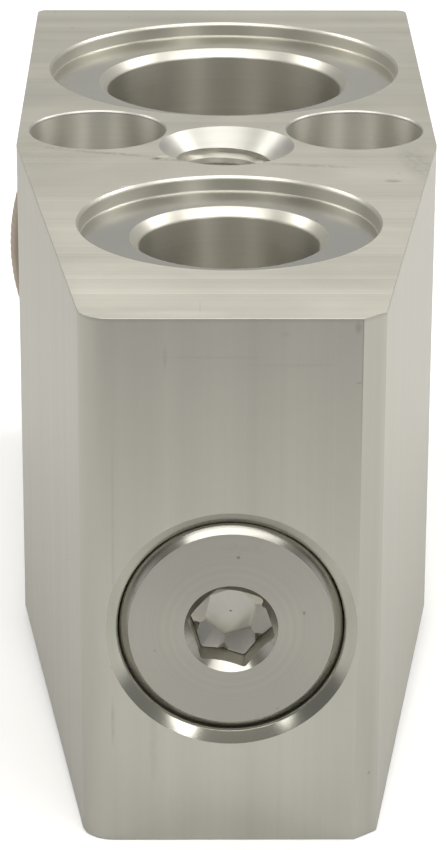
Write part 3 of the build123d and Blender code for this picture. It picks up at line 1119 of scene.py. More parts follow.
@dataclass
class ValveBlock:
    """The extruded and machined block, with its ports, seats, thread and passage."""

    width: float = 32.0
    front_width: float = 20.0
    front_corner: float = 2.3
    front_flat: float = 1.4
    flat_front_round: float = 0.15
    flat_side_round: float = 0.25
    wide_corner: float = 3.0
    back_corner: float = 0.8
    edge: float = 0.04
    bolt_spacing: float = 19.8
    bolt_head: float = 5.2
    bolt_head_depth: float = 12.0
    bolt_hole: float = 2.8
    bolt_lip: float = 0.13
    clamp_minor: float = 3.32
    clamp_major: float = 3.9
    clamp_pitch: float = 1.25
    clamp_depth: float = 12.0
    clamp_mouth: float = 5.15
    clamp_slope: float = 1.19
    clamp_point: float = 2.3
    clamp_thread_start: float = -0.6
    clamp_thread_stop: float = 0.4
    clamp_thread_root: float = 0.05
    seat_above: float = 13.4
    seat_below: float = 10.4
    margin: float = 1.5

    def outline(self) -> Outline:
        """The block's outline: parallel flanks that taper to the narrow front.

        Returns:
            The outline.
        """
        half, narrow = self.width / 2, self.front_width / 2
        front, wide, back = LAYOUT.front, LAYOUT.widest, LAYOUT.back
        flat = self.front_flat
        slope = (half - narrow) / (wide - front)
        corners = (
            ((-narrow, front), self.front_corner),
            ((narrow - flat, front), self.flat_front_round),
            ((narrow + flat * slope, front + flat), self.flat_side_round),
            ((half, wide), self.wide_corner),
            ((half, back), self.back_corner),
            ((-half, back), self.back_corner),
            ((-half, wide), self.wide_corner),
        )
        return Outline(tuple(place for place, _ in corners), tuple(size for _, size in corners))

    def front_wear_and_painted_light(self) -> tuple[Mark, ...]:
        """The wear marks on the front face, and one broad patch of painted light at its foot.

        Returns:
            The marks.
        """
        front = LAYOUT.front
        return (
            Mark((-4.43, front, 38.7), (0.2, 1.0, 1.0), 0.10, broken=0.3),
            Mark((-7.98, front, 26.0), (0.1, 1.0, 8.0), 0.09, broken=0.6),
            Mark((-8.08, front, 12.1), (0.16, 1.0, 2.2), 0.13),
            Mark((-8.06, front, 16.25), (0.22, 1.0, 0.22), 0.16, broken=0.3),
            Mark((-5.3, front, 10.4), (0.35, 1.0, 3.4), 0.07),
            Mark((8.25, front, 40.8), (0.3, 1.0, 0.55), 0.2, broken=0.3),
            Mark((8.37, front, 36.9), (0.3, 1.0, 0.12), 0.16, broken=0.3),
            Mark((-1.2, front, 38.7), (4.2, 1.0, 0.12), 0.07),
            Mark((3.9, front, 38.15), (3.6, 1.0, 0.14), 0.06),
            Mark((3.5, front, 40.3), (0.5, 1.0, 0.25), 0.07),
            # painted light: a broad lighter patch at the front face's foot
            Mark((0.0, front, 5.0), (16.0, 1.0, 12.0), -0.07, broken=0.1),
        )

    def lead_in_painted_shade(self) -> tuple[Mark, ...]:
        """Broad patches of painted shade on the upper half and both sides of the lead-in.

        Returns:
            The marks.
        """
        front, middle = LAYOUT.front, LAYOUT.axis_height
        return (
            # painted shade on the lead-in's upper half and both sides
            Mark((0.0, front, middle + 9.0), (9.0, 3.0, 6.5), 0.22, broken=0.1),
            Mark((-8.4, front, middle), (1.4, 3.0, 6.5), 0.12, broken=0.1),
            Mark((8.4, front, middle), (1.4, 3.0, 6.5), 0.12, broken=0.1),
        )

    def face_marks(self) -> tuple[Mark, ...]:
        """The scratches and stains on the hose face, and broad patches of painted light and shade
        on it.

        Returns:
            The marks.
        """
        top = LAYOUT.top
        return (
            Mark((-8.8, -8.4, top), (3.8, 0.42, 1.0), 0.26, -14, 0.9),
            Mark((-5.32, -9.74, top), (0.6, 0.36, 1.0), 0.6, 20, 0.6),
            Mark((-4.8, -9.2, top), (0.6, 0.3, 1.0), -0.5, 10, 0.5),
            Mark((-3.4, -10.2, top), (2.8, 0.4, 1.0), 0.26, -8, 0.8),
            Mark((6.4, -11.5, top), (4.6, 0.5, 1.0), 0.2, -9, 0.8),
            Mark((14.3, -11.0, top), (1.5, 6.0, 1.0), 0.15, 8, 0.8),
            Mark((12.15, -15.34, top), (0.8, 0.5, 1.0), 0.34, 0, 0.6),
            Mark((-13.0, -7.0, top), (1.6, 0.5, 1.0), 0.12, -20, 0.8),
            Mark((-7.3, -16.6, top), (0.9, 0.25, 1.0), -0.3, 24, 0.5),
            Mark((-2.13, -43.2, top), (0.08, 1.6, 1.0), 0.1),
            Mark((-4.2, -44.6, top), (4.5, 0.9, 1.0), -0.12, 0, 0.2),
            # painted light and shade: broad darker and lighter patches of the face's tone
            Mark((-13.5, -8.0, top), (4.5, 10.0, 1.0), 0.1, 0, 0.3),
            Mark((-8.0, -38.5, top), (7.0, 6.0, 1.0), -0.09, 0, 0.2),
            Mark((11.0, -14.5, top), (4.5, 5.0, 1.0), -0.07, 0, 0.2),
            Mark((9.0, -37.0, top), (6.0, 7.0, 1.0), 0.05, 0, 0.2),
        )

    def ports(self) -> list[Port]:
        """The four ports, of which the two for suction meet halfway down.

        Returns:
            The ports.
        """
        meeting = (LAYOUT.top - LAYOUT.bottom) / 2 + 0.01
        return [
            Port(
                "suction_cut", LAYOUT.on_top(LAYOUT.suction), Heading.DOWN,
                recess=14.3, seat=9.55, passage=8.8, seat_depth=self.seat_above, bottom=meeting,
            ),
            Port(
                "suction_under", LAYOUT.underneath(LAYOUT.suction), Heading.UP,
                recess=12.3, seat=9.3, passage=8.8, seat_depth=self.seat_below, bottom=meeting,
            ),
            Port(
                "inlet_cut", LAYOUT.on_top(LAYOUT.inlet), Heading.DOWN,
                recess=10.9, seat=6.45, passage=5.9, seat_depth=self.seat_above, bottom=22.4,
                # painted shade: the inlet recess's floor is darker, standing in for the shade of
                # its walls
                floor_colour=DARKER_ALUMINIUM,
            ),
            Port(
                "outlet_cut", LAYOUT.underneath(LAYOUT.outlet), Heading.UP,
                recess=8.5, seat=6.1, passage=5.6, seat_depth=self.seat_below, bottom=20.0,
            ),
        ]

    def bolt_profile(self) -> np.ndarray:
        """Half section of a fixing hole with its deep seat.

        Returns:
            Rows of radius and depth.
        """
        height = LAYOUT.top - LAYOUT.bottom
        lip, head, hole = self.bolt_lip, self.bolt_head, self.bolt_hole
        return eased(
            [
                (0, -self.margin, 0),
                (head + lip + self.margin, -self.margin, 0),
                (head, lip, 0.08),
                (head, self.bolt_head_depth, 0),
                (hole, self.bolt_head_depth, 0),
                (hole, height - lip, 0.05),
                (hole + lip + self.margin, height + self.margin, 0),
                (0, height + self.margin, 0),
            ]
        )

    def bolt_finish(self, middles: np.ndarray) -> np.ndarray:
        """The finish of each row of a fixing hole's faces.

        Args:
            middles: the rows' middle points, as radius and depth.

        Returns:
            1 on its broken edges, 0 on its walls.
        """
        radius = middles[:, 0]
        edges = (abs(radius - self.bolt_head) > 0.001) & (radius > self.bolt_head - 0.01)
        return edges.astype(int)

    def clamp_finish(self, middles: np.ndarray) -> np.ndarray:
        """1 on the clamp hole's countersink, 0 below it."""
        return (middles[:, 0] > self.clamp_minor + 0.01).astype(int)

    def clamp_profile(self) -> np.ndarray:
        """Half section of the clamp hole's countersink, down to the drilled core and point.

        Returns:
            Rows of radius and depth.
        """
        slope = self.clamp_slope
        rise = (self.clamp_mouth - self.clamp_minor) / slope
        return eased(
            [
                (0, -self.margin, 0),
                (self.clamp_mouth + self.margin * slope, -self.margin, 0),
                (self.clamp_minor, rise, 0),
                (self.clamp_minor, self.clamp_depth, 0),
                (0, self.clamp_depth + self.clamp_point, 0),
            ]
        )

    def clamp_thread(self) -> Shell:
        """The clamp hole's thread, as the room its screw takes.

        The radius is a little less than the core's, plus a thread wave that fades out at the
        end.

        Returns:
            The room's shell.
        """
        start, end = self.clamp_thread_start, self.clamp_depth - self.clamp_thread_stop
        under = self.clamp_thread_root
        depth = np.linspace(start, end, 240)
        profile = np.column_stack([np.full_like(depth, self.clamp_minor - under), depth])
        profile = np.r_[[[0, start]], profile, [[0, end]]]
        reach = self.clamp_major - self.clamp_minor + under

        def ridge(angle: np.ndarray, at: np.ndarray) -> np.ndarray:
            """The thread's height.

            Args:
                angle: angles round the axis.
                at: depths along it.

            Returns:
                The height at each.
            """
            wave = thread_wave(angle, at, self.clamp_pitch, crest=1.55, flank=4.4)
            fade = np.clip((end - at) / self.clamp_pitch, 0, 1)
            return reach * wave * fade

        return lathe(profile, LAYOUT.on_top(LAYOUT.clamp), Heading.DOWN, 120, ripple=ridge)

    def build(self, shared: Shared) -> bpy.types.Object:
        """Builds the block, cuts its holes and dresses it.

        Args:
            shared: the node groups that the finishes have in common.

        Returns:
            The block.
        """
        flank = MetalFinish(
            "block_drawn_flank",
            DRAWN_ALUMINIUM,
            0.38,
            Grain.DRAWN,
            0.35,
            streak_tint=0.05,
            band_tint=0.06,
            # painted shade along the top edge of the flanks and the front face
            edge_painted_shade=0.14,
            marks=self.front_wear_and_painted_light(),
        )
        face = MetalFinish(
            "block_milled_face",
            ALUMINIUM,
            0.4,
            Grain.ACROSS,
            0.28,
            streak_tint=0.22,
            smudge_tint=0.09,
            # painted light: the hose face lighter at the front and darker towards the back
            fade=(-42.0, 5.0, 1.14, 0.88),
            marks=self.face_marks(),
        )
        blank = prism(self.outline(), LAYOUT.bottom, LAYOUT.top, self.edge)
        block = mesh_object("block_body", blank, [flank.build(shared), face.build(shared)])
        tools = [port.cutter(shared) for port in self.ports()]
        drilled = MetalFinish(
            "block_drilled", CLEAN_CUT, 0.5, Grain.HOOPS, 0.22, heading=Heading.DOWN, anisotropy=0.9
        ).build(shared)
        mouth = MetalFinish(
            "block_countersunk", DARKER_ALUMINIUM, 0.42, Grain.HOOPS, 0.35, heading=Heading.DOWN,
            anisotropy=0.3,
        ).build(shared)
        clamp = LAYOUT.on_top(LAYOUT.clamp)
        bolt, cone = self.bolt_profile(), self.clamp_profile()
        shells = {}
        for side, hand in ((-1, "left"), (1, "right")):
            place = LAYOUT.on_top(LAYOUT.bolts, side * self.bolt_spacing / 2)
            shells["bolt_cut_" + hand] = lathe(
                bolt, place, Heading.DOWN, 128, finish=self.bolt_finish
            )
        shells["clamp_cut"] = lathe(cone, clamp, Heading.DOWN, 120, finish=self.clamp_finish)
        shells["clamp_thread_cut"] = self.clamp_thread()
        tools += [mesh_object(name, shell, [drilled, mouth]) for name, shell in shells.items()]
        middle = LAYOUT.on_axis(0)
        bored = MetalFinish(
            "block_bored", ALUMINIUM, 0.4, Grain.HOOPS, 0.2, centre=middle, heading=Heading.BACK
        ).build(shared)
        lead = MetalFinish(
            "block_lead_in", LEAD_IN, 0.16, Grain.HOOPS, 0.2, centre=middle, heading=Heading.BACK,
            anisotropy=0.2, streak_gloss=0.05, smudge_gloss=0.04, marks=self.lead_in_painted_shade(),
        ).build(shared)
        passage = Passage()
        bores = lathe(passage.profile(), middle, Heading.BACK, 160, finish=passage.finish_of)
        tools.append(mesh_object("passage_cut", bores, [bored, lead]))
        carve(block, tools)
        level_shading(block)
        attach(block, "valve_body")
        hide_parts("valve_block")
        log.info("block: %d faces", len(block.data.polygons))
        return block


# Adjusting plug


@dataclass
class AdjustingPlug:
    """The screwed plug in the front face, with its hexagon socket."""

    radius: float = 7.67
    chamfer: float = 1.2
    face_depth: float = 0.12
    face_radius: float = 6.98
    face_chamfer: float = 0.4
    key_width: float = 5.3
    key_turn: float = -12.0
    key_corner: float = 0.1
    key_mouth: float = 3.2
    broach_end: float = 2.95
    chip_slope: float = 0.5
    chip_chord: float = 1.6
    chip_step: float = 0.3
    chip_burr: float = 0.42
    chip_rim: float = 0.16
    fold_width: float = 0.26
    fold_top: float = 0.3
    fold_spread: float = 4.0
    pilot_disc: float = 1.22
    pilot_slope: float = 0.18
    pilot_step: float = 0.06
    centre_mark: float = 0.08
    thread_pitch: float = 1.0
    thread_height: float = 0.5
    thread_end: float = 6.6
    crest_bevel: float = 0.06
    rim_flat: float = 0.21
    land: float = 6.95
    groove_floor: float = 5.61
    groove_start: float = 10.4
    groove_end: float = 12.15
    bevel_start: float = 12.2
    bevel_end: float = 6.55
    length: float = 12.6
    pocket: float = 4.35
    pocket_floor: float = 8.0

    def profile(self) -> np.ndarray:
        """The plug's half section, from its face back to the spring's pocket.

        Returns:
            Rows of radius and depth.
        """
        thread = np.linspace(self.chamfer, self.thread_end, 72)[1:-1]
        rim, face, cone = self.face_radius, self.face_depth, self.face_chamfer
        ends = eased(
            [
                (0, face, 0),
                (rim, face, 0.02),
                (rim + cone, face + cone, 0.02),
                (self.radius - self.crest_bevel, face + cone + self.rim_flat, 0.03),
                (self.radius, self.chamfer, 0),
            ]
        )
        body = eased(
            [
                (self.radius, self.thread_end, 0),
                (self.land, self.thread_end, 0),
                (self.land, self.groove_start, 0.1),
                (self.groove_floor, self.groove_start, 0.1),
                (self.groove_floor, self.groove_end, 0.1),
                (self.land, self.groove_end, 0.1),
                (self.land, self.bevel_start, 0),
                (self.bevel_end, self.length, 0),
                (self.pocket, self.length, 0),
                (self.pocket, self.pocket_floor, 0),
                (0, self.pocket_floor, 0),
            ]
        )
        return np.r_[ends, np.column_stack([np.full_like(thread, self.radius), thread]), body]

    def finish_of(self, middles: np.ndarray) -> np.ndarray:
        """1 on the chamfer round the face, 0 elsewhere."""
        radius, depth = middles[:, 0], middles[:, 1]
        return ((depth < self.chamfer) & (radius > self.face_radius)).astype(int)

    def face_marks(self) -> tuple[Mark, ...]:
        """The pits in the plug's face, and one faint smear.

        Returns:
            The marks.
        """
        front = LAYOUT.front
        return (
            Mark((0.46, front, 24.31), (0.16, 1.0, 0.16), 0.4, broken=0.0),
            Mark((4.94, front, 20.21), (0.14, 1.0, 0.2), 0.35, broken=0.0),
            Mark((-5.2, front, 17.4), (0.12, 1.0, 0.12), 0.2, broken=0.0),
            Mark((0.9, front, 25.0), (2.4, 1.0, 0.5), 0.05, broken=0.8),
        )

    def thread(self, angle: np.ndarray, depth: np.ndarray) -> np.ndarray:
        """The thread's groove: a rounded wave, cut inwards.

        Args:
            angle: angles round the axis.
            depth: depths along it.

        Returns:
            What is added to the radius at each.
        """
        groove = thread_wave(angle, depth, self.thread_pitch, crest=1.25, flank=5.0)
        start = np.clip((depth - self.chamfer - 0.5) / self.thread_pitch, 0, 1)
        end = np.clip((self.thread_end - depth) / 0.2, 0, 1) * (depth < self.thread_end)
        return -self.thread_height * groove * start * end

    def socket(self) -> Shell:
        """The hexagon socket's room, closed by the chips that its broach left.

        A flat's distance from the axis is a / cos t, for the hexagon's half width a and the
        angle t from the flat's middle, and it is cut to a circle near the corners. A cone
        opens its mouth. Behind each corner lies a chip, a plane that rises from its inner
        chord to the corner, and a burr is folded over at each flat's middle. Inside the
        chords lies the pilot hole's end, with a disc that is raised at its lower side, and a
        centre mark.

        Returns:
            The room's shell, with its open end outside the plug's face.
        """
        columns = 144
        angle = np.arange(columns) * TURN / columns + np.radians(self.key_turn)
        sector = TURN / 6
        from_corner = (angle - np.radians(self.key_turn) + sector / 2) % sector - sector / 2
        from_flat = sector / 2 - np.abs(from_corner)
        half = self.key_width / 2
        edge = np.minimum(half / np.cos(from_flat), half / np.cos(sector / 2) - self.key_corner / 2)
        chord = self.chip_chord / np.cos(from_corner)
        reach = edge * np.cos(from_corner) - self.chip_chord
        chip_floor = self.broach_end - self.chip_slope * reach
        bump = np.exp(-((np.degrees(from_flat) / self.fold_spread) ** 2))
        inner = edge - self.chip_rim - self.fold_width * bump
        inward = inner * np.cos(from_corner) - self.chip_chord
        inner_floor = self.broach_end - self.chip_slope * inward
        pilot_floor = self.broach_end + self.chip_step
        raised = self.pilot_step * np.clip(0.5 - np.sin(angle), 0, 1)
        outside = (self.key_mouth + 1, self.face_depth - 1.0)
        rings = [
            outside,
            (edge, self.face_depth + self.key_mouth - edge),
            (edge, chip_floor + 0.1),
            (edge - 0.05 - self.fold_top * bump, chip_floor - self.chip_burr * bump),
            (inner, inner_floor),
            (chord + 0.03, self.broach_end),
            (chord, pilot_floor),
            (self.pilot_disc + self.pilot_slope, pilot_floor),
            (self.pilot_disc, pilot_floor - raised),
            (self.centre_mark, pilot_floor - self.pilot_step / 2),
            (self.centre_mark / 2, pilot_floor + 0.05),
        ]
        points = np.concatenate(
            [
                np.column_stack(
                    [
                        radius * np.cos(angle),
                        LAYOUT.front + np.broadcast_to(depth, columns),
                        LAYOUT.axis_height + radius * np.sin(angle),
                    ]
                )
                for radius, depth in rings
            ]
        )
        faces = grid_faces(len(rings), columns, False, True).tolist()
        last = (len(rings) - 1) * columns
        finishes = [2] * columns + [0] * columns * 2 + [1] * columns * 2 + [0] * columns
        finishes += [3] * columns * (len(rings) - 7)
        faces += [list(range(columns))[::-1], list(range(last, last + columns))]
        return Shell(points, faces, finishes + [2, 3]).outward()

    def build(self, shared: Shared) -> bpy.types.Object:
        """Builds and dresses the plug.

        Args:
            shared: the node groups that the finishes have in common.

        Returns:
            The plug.
        """
        middle = LAYOUT.on_axis(0)
        common = {"centre": middle, "heading": Heading.BACK}
        turned = MetalFinish(
            "plug_turned", STEEL, 0.4, Grain.RINGS, 0.3, streak_tint=0.12,
            marks=self.face_marks(), **common,
        ).build(shared)
        cone = MetalFinish(
            "plug_chamfered", DARK_STEEL, 0.22, Grain.RINGS, 0.1, anisotropy=0.3, **common
        ).build(shared)
        wall, chip, pilot = (
            MetalFinish(name, colour, roughness, grain, 0.2, **common).build(shared)
            for name, colour, roughness, grain in (
                ("plug_broached", BROACHED_STEEL, 0.36, Grain.DRAWN),
                ("plug_chips", CHIP_STEEL, 0.36, Grain.SPECKLED),
                ("plug_pilot_end", CUT_STEEL, 0.4, Grain.SPECKLED),
            )
        )
        body = lathe(
            self.profile(), middle, Heading.BACK, 160, ripple=self.thread, finish=self.finish_of
        )
        plug = mesh_object("plug_body", body, [turned, cone])
        carve(plug, [mesh_object("key_cut", self.socket(), [wall, chip, cone, pilot])])
        level_shading(plug)
        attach(plug, "adjuster")
        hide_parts("adjusting_plug")
        log.info("plug: %d faces", len(plug.data.polygons))
        return plug


# Power head


@dataclass
class PowerHead:
    """The power head: screwed base, pressed cap, the weld round its rim, and the charge pin."""

    rim: float = 19.0
    flange: float = 18.6
    weld_front: float = 1.85
    weld_back: float = 4.35
    weld_root: float = 18.2
    weld_shoulder: float = 18.65
    weld_round: float = 0.55
    weld_scales: int = 168
    weld_depth: float = 0.05
    neck: float = 11.9
    neck_length: float = 7.4
    neck_bore: float = 8.5
    thread_pitch: float = 1.5
    thread_height: float = 0.55
    thread_end: float = -0.9
    neck_bevel: float = 0.4
    joint: float = 3.1
    diaphragm_rim: float = 18.41
    hole: float = 1.1
    pin_stem: float = 1.09

    def base_profile(self) -> np.ndarray:
        """Half section of the base: neck, shoulder, flare, flange and dished floor.

        Returns:
            Rows of radius and depth.
        """
        start, end = self.neck_bevel - self.neck_length, self.thread_end
        neck = np.linspace(start, end, 64)
        outside = eased(
            [
                (self.neck, -0.1, 0),
                (14.8, 0.0, 0.3),
                (16.9, 1.9, 0.6),
                (self.flange, 1.9, 0.1),
                (self.flange, self.joint, 0),
                (15.6, self.joint, 0.4),
                (13.6, 1.2, 0.5),
                (self.neck_bore, 1.2, 0.3),
                (self.neck_bore, -self.neck_length, 0.1),
                (self.neck - self.neck_bevel, -self.neck_length, 0),
            ]
        )
        return np.r_[np.column_stack([np.full_like(neck, self.neck), neck]), outside]

    def neck_thread(self, angle: np.ndarray, depth: np.ndarray) -> np.ndarray:
        """The neck's thread: a rounded wave, cut inwards.

        Args:
            angle: angles round the axis.
            depth: depths along it.

        Returns:
            What is added to the radius at each.
        """
        groove = thread_wave(angle, depth, self.thread_pitch, crest=1.3, flank=4.6)
        start = np.clip((depth + self.neck_length - 0.35) / self.neck_bevel, 0, 1)
        end = np.clip((self.thread_end - depth) / self.thread_pitch, 0, 1)
        return -self.thread_height * groove * start * end

    def cap_profile(self) -> np.ndarray:
        """Half section of the pressed cap, with rounded bends and a dimple at the crown.

        Returns:
            Rows of radius and depth.
        """
        return eased(
            [
                (self.hole, 9.5, 0),
                (3.2, 9.5, 0.35),
                (4.2, 10.2, 0.45),
                (11.6, 10.2, 0.9),
                (13.5, 9.7, 0.9),
                (14.7, 8.5, 0.8),
                (15.7, 5.4, 0.6),
                (16.6, 4.4, 0.6),
                (self.flange, 4.4, 0.2),
                (self.flange, self.joint, 0),
                (self.diaphragm_rim, self.joint, 0),
                (self.diaphragm_rim, 3.3, 0),
                (16.2, 3.3, 0.5),
                (14.7, 5.0, 0.6),
                (13.8, 8.0, 0.7),
                (12.9, 8.8, 0.6),
                (11.4, 9.1, 0.7),
                (4.6, 9.1, 0.4),
                (3.6, 8.4, 0.4),
                (self.hole, 8.4, 0),
            ],
            steps=6,
        )

    def weld_profile(self) -> np.ndarray:
        """Half section of the weld bead that joins the two flanges.

        Returns:
            Rows of radius and depth.
        """
        front, back = self.weld_front, self.weld_back
        return eased(
            [
                (self.weld_root, front, 0.1),
                (self.weld_shoulder, front, 0.2),
                (self.rim, front + self.weld_round, 0.35),
                (self.rim, back - self.weld_round, 0.35),
                (self.weld_shoulder, back, 0.2),
                (self.weld_root, back, 0.1),
            ],
            steps=5,
        )

    def weld_scale(self, angle: np.ndarray, depth: np.ndarray) -> np.ndarray:
        """The bead's scales: curved waves that lag behind at the bead's edges, cut inwards.

        Args:
            angle: angles round the axis.
            depth: depths along it.

        Returns:
            What is added to the radius at each.
        """
        middle = (self.weld_front + self.weld_back) / 2
        half = (self.weld_back - self.weld_front) / 2
        lag = 0.9 * ((depth - middle) / half) ** 2
        wave = 0.5 + 0.5 * np.cos(self.weld_scales * angle + 2.2 * lag)
        slow = 0.5 + 0.5 * np.sin(7 * angle + 1.3) * np.cos(3 * angle)
        return -self.weld_depth * (0.65 * wave**2 + 0.35 * slow)

    def pin_profile(self) -> np.ndarray:
        """Half section of the charge pin: a rounded, slightly flattened head on its stem.

        Returns:
            Rows of radius and depth.
        """
        return eased(
            [
                (0, 11.0, 0),
                (1.0, 10.93, 0.4),
                (2.05, 10.3, 0.6),
                (2.4, 9.55, 0.2),
                (2.3, 9.5, 0),
                (self.pin_stem, 9.5, 0),
                (self.pin_stem, 7.4, 0.1),
                (0, 7.3, 0),
            ]
        )

    def build(self, shared: Shared) -> None:
        """Builds and dresses the head's four pieces.

        Args:
            shared: the node groups that the finishes have in common.
        """
        centre = (0.0, LAYOUT.back, LAYOUT.axis_height)
        common = {"centre": centre, "heading": Heading.BACK}
        pressed = MetalFinish(
            "head_pressed", STAINLESS, 0.3, Grain.RINGS, 0.5, depth=0.0004, streak_tint=0.04,
            anisotropy=0.3, **common,
        ).build(shared)
        turned = MetalFinish(
            "head_turned", STAINLESS, 0.34, Grain.RINGS, 0.25, **common
        ).build(shared)
        welded = MetalFinish(
            "head_weld", WELD, 0.34, Grain.HOOPS, 0.5, smudge_tint=0.35, anisotropy=0.2, **common
        ).build(shared)
        parts = (
            ("base_shell", self.base_profile(), True, self.neck_thread, turned, "head_base", 200),
            ("cap_shell", self.cap_profile(), True, None, pressed, "head_cap", 200),
            ("rim_weld", self.weld_profile(), True, self.weld_scale, welded, None, 1056),
            ("charge_pin", self.pin_profile(), False, None, pressed, "charge_plug", 64),
        )
        for name, profile, closed, ripple, material, node, segments in parts:
            shell = lathe(profile, centre, Heading.BACK, segments, closed, ripple)
            piece = mesh_object(name, shell, [material])
            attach(piece, "valve_body")
            if node:
                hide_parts(node)
            log.info("%s: %d faces", name, len(piece.data.polygons))


# Bias spring


@dataclass
class BiasSpring:
    """The coil spring, in a front part that follows the plug and a back part at the carrier."""

    front: float = -37.5
    middle: float = -31.4
    back: float = -25.3
    coil: float = 3.6
    wire: float = 0.5
    turns: float = 5.5
    closed_turns: float = 0.8
    valve_lift: float = 0.5

    def path(self, start: float, end: float) -> np.ndarray:
        """The wire's middle line between two shares of the whole winding.

        The place along the axis is a share of the free length. The share runs slower in the
        closed turns at both ends, by the integral of a step with sloping sides.

        Args:
            start: the winding's share at which the line begins, from nought to one.
            end: the share at which it ends.

        Returns:
            Rows of points.
        """
        share = np.linspace(0, 1, 600)
        closed = self.closed_turns / self.turns
        rate = np.clip(np.minimum(share, 1 - share) / closed, 0.12, 1)
        travel = np.concatenate([[0], np.cumsum((rate[1:] + rate[:-1]) / 2)])
        travel /= travel[-1]
        here = np.linspace(start, end, int(420 * (end - start)))
        angle = TURN * self.turns * here
        first, last = self.front + self.wire, self.back - self.wire
        along = first + (last - first) * np.interp(here, share, travel)
        return np.column_stack(
            [self.coil * np.sin(angle), along, LAYOUT.axis_height + self.coil * np.cos(angle)]
        )

    def build(self, shared: Shared) -> None:
        """Builds the two parts, which meet halfway along the spring.

        Args:
            shared: the node groups that the finishes have in common.
        """
        steel = MetalFinish(
            "spring_wire", STEEL, 0.26, Grain.DRAWN, 0.1,
            centre=LAYOUT.on_axis(0), heading=Heading.BACK,
        ).build(shared)
        front = mesh_object("spring_front", swept_tube(self.path(0.0, 0.5), self.wire), [steel])
        back = mesh_object("spring_back", swept_tube(self.path(0.5, 1.0), self.wire), [steel])
        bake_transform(front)
        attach(back, "valve_body")
        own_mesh(back)
        for piece in (front, back):
            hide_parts("bias_spring")
            log.info("%s: %d faces", piece.name, len(piece.data.polygons))


# Carried-over CAD nodes


@dataclass
class InnerParts:
    """The CAD nodes that stay as they are and get a finish."""

    def build(self, shared: Shared) -> None:
        """Dresses each node by its slot.

        Args:
            shared: the node groups that the finishes have in common.
        """
        common = {"centre": LAYOUT.on_axis(0), "heading": Heading.BACK}
        steel, bright, rod = (
            MetalFinish(name, colour, roughness, grain, spacing, **common).build(shared)
            for name, colour, roughness, grain, spacing in (
                ("steel_turned", STEEL, 0.3, Grain.HOOPS, 0.2),
                ("steel_polished", BRIGHT_STEEL, 0.12, Grain.SPECKLED, 0.1),
                ("rod_turned", ALUMINIUM, 0.26, Grain.HOOPS, 0.2),
            )
        )
        rubber = RubberFinish().build(shared)
        finishes = {
            "turned_steel": steel,
            "spring_steel": steel,
            "head_steel": steel,
            "polished_steel": bright,
            "rod_aluminium": rod,
            "block_aluminium": rod,
            "seal_rubber": rubber,
        }
        for part in frame["record"]["subparts"]:
            for slot in frame["nodes"][part["node"]].material_slots:
                slot.material = finishes[part["material_slot"]]


# Stage


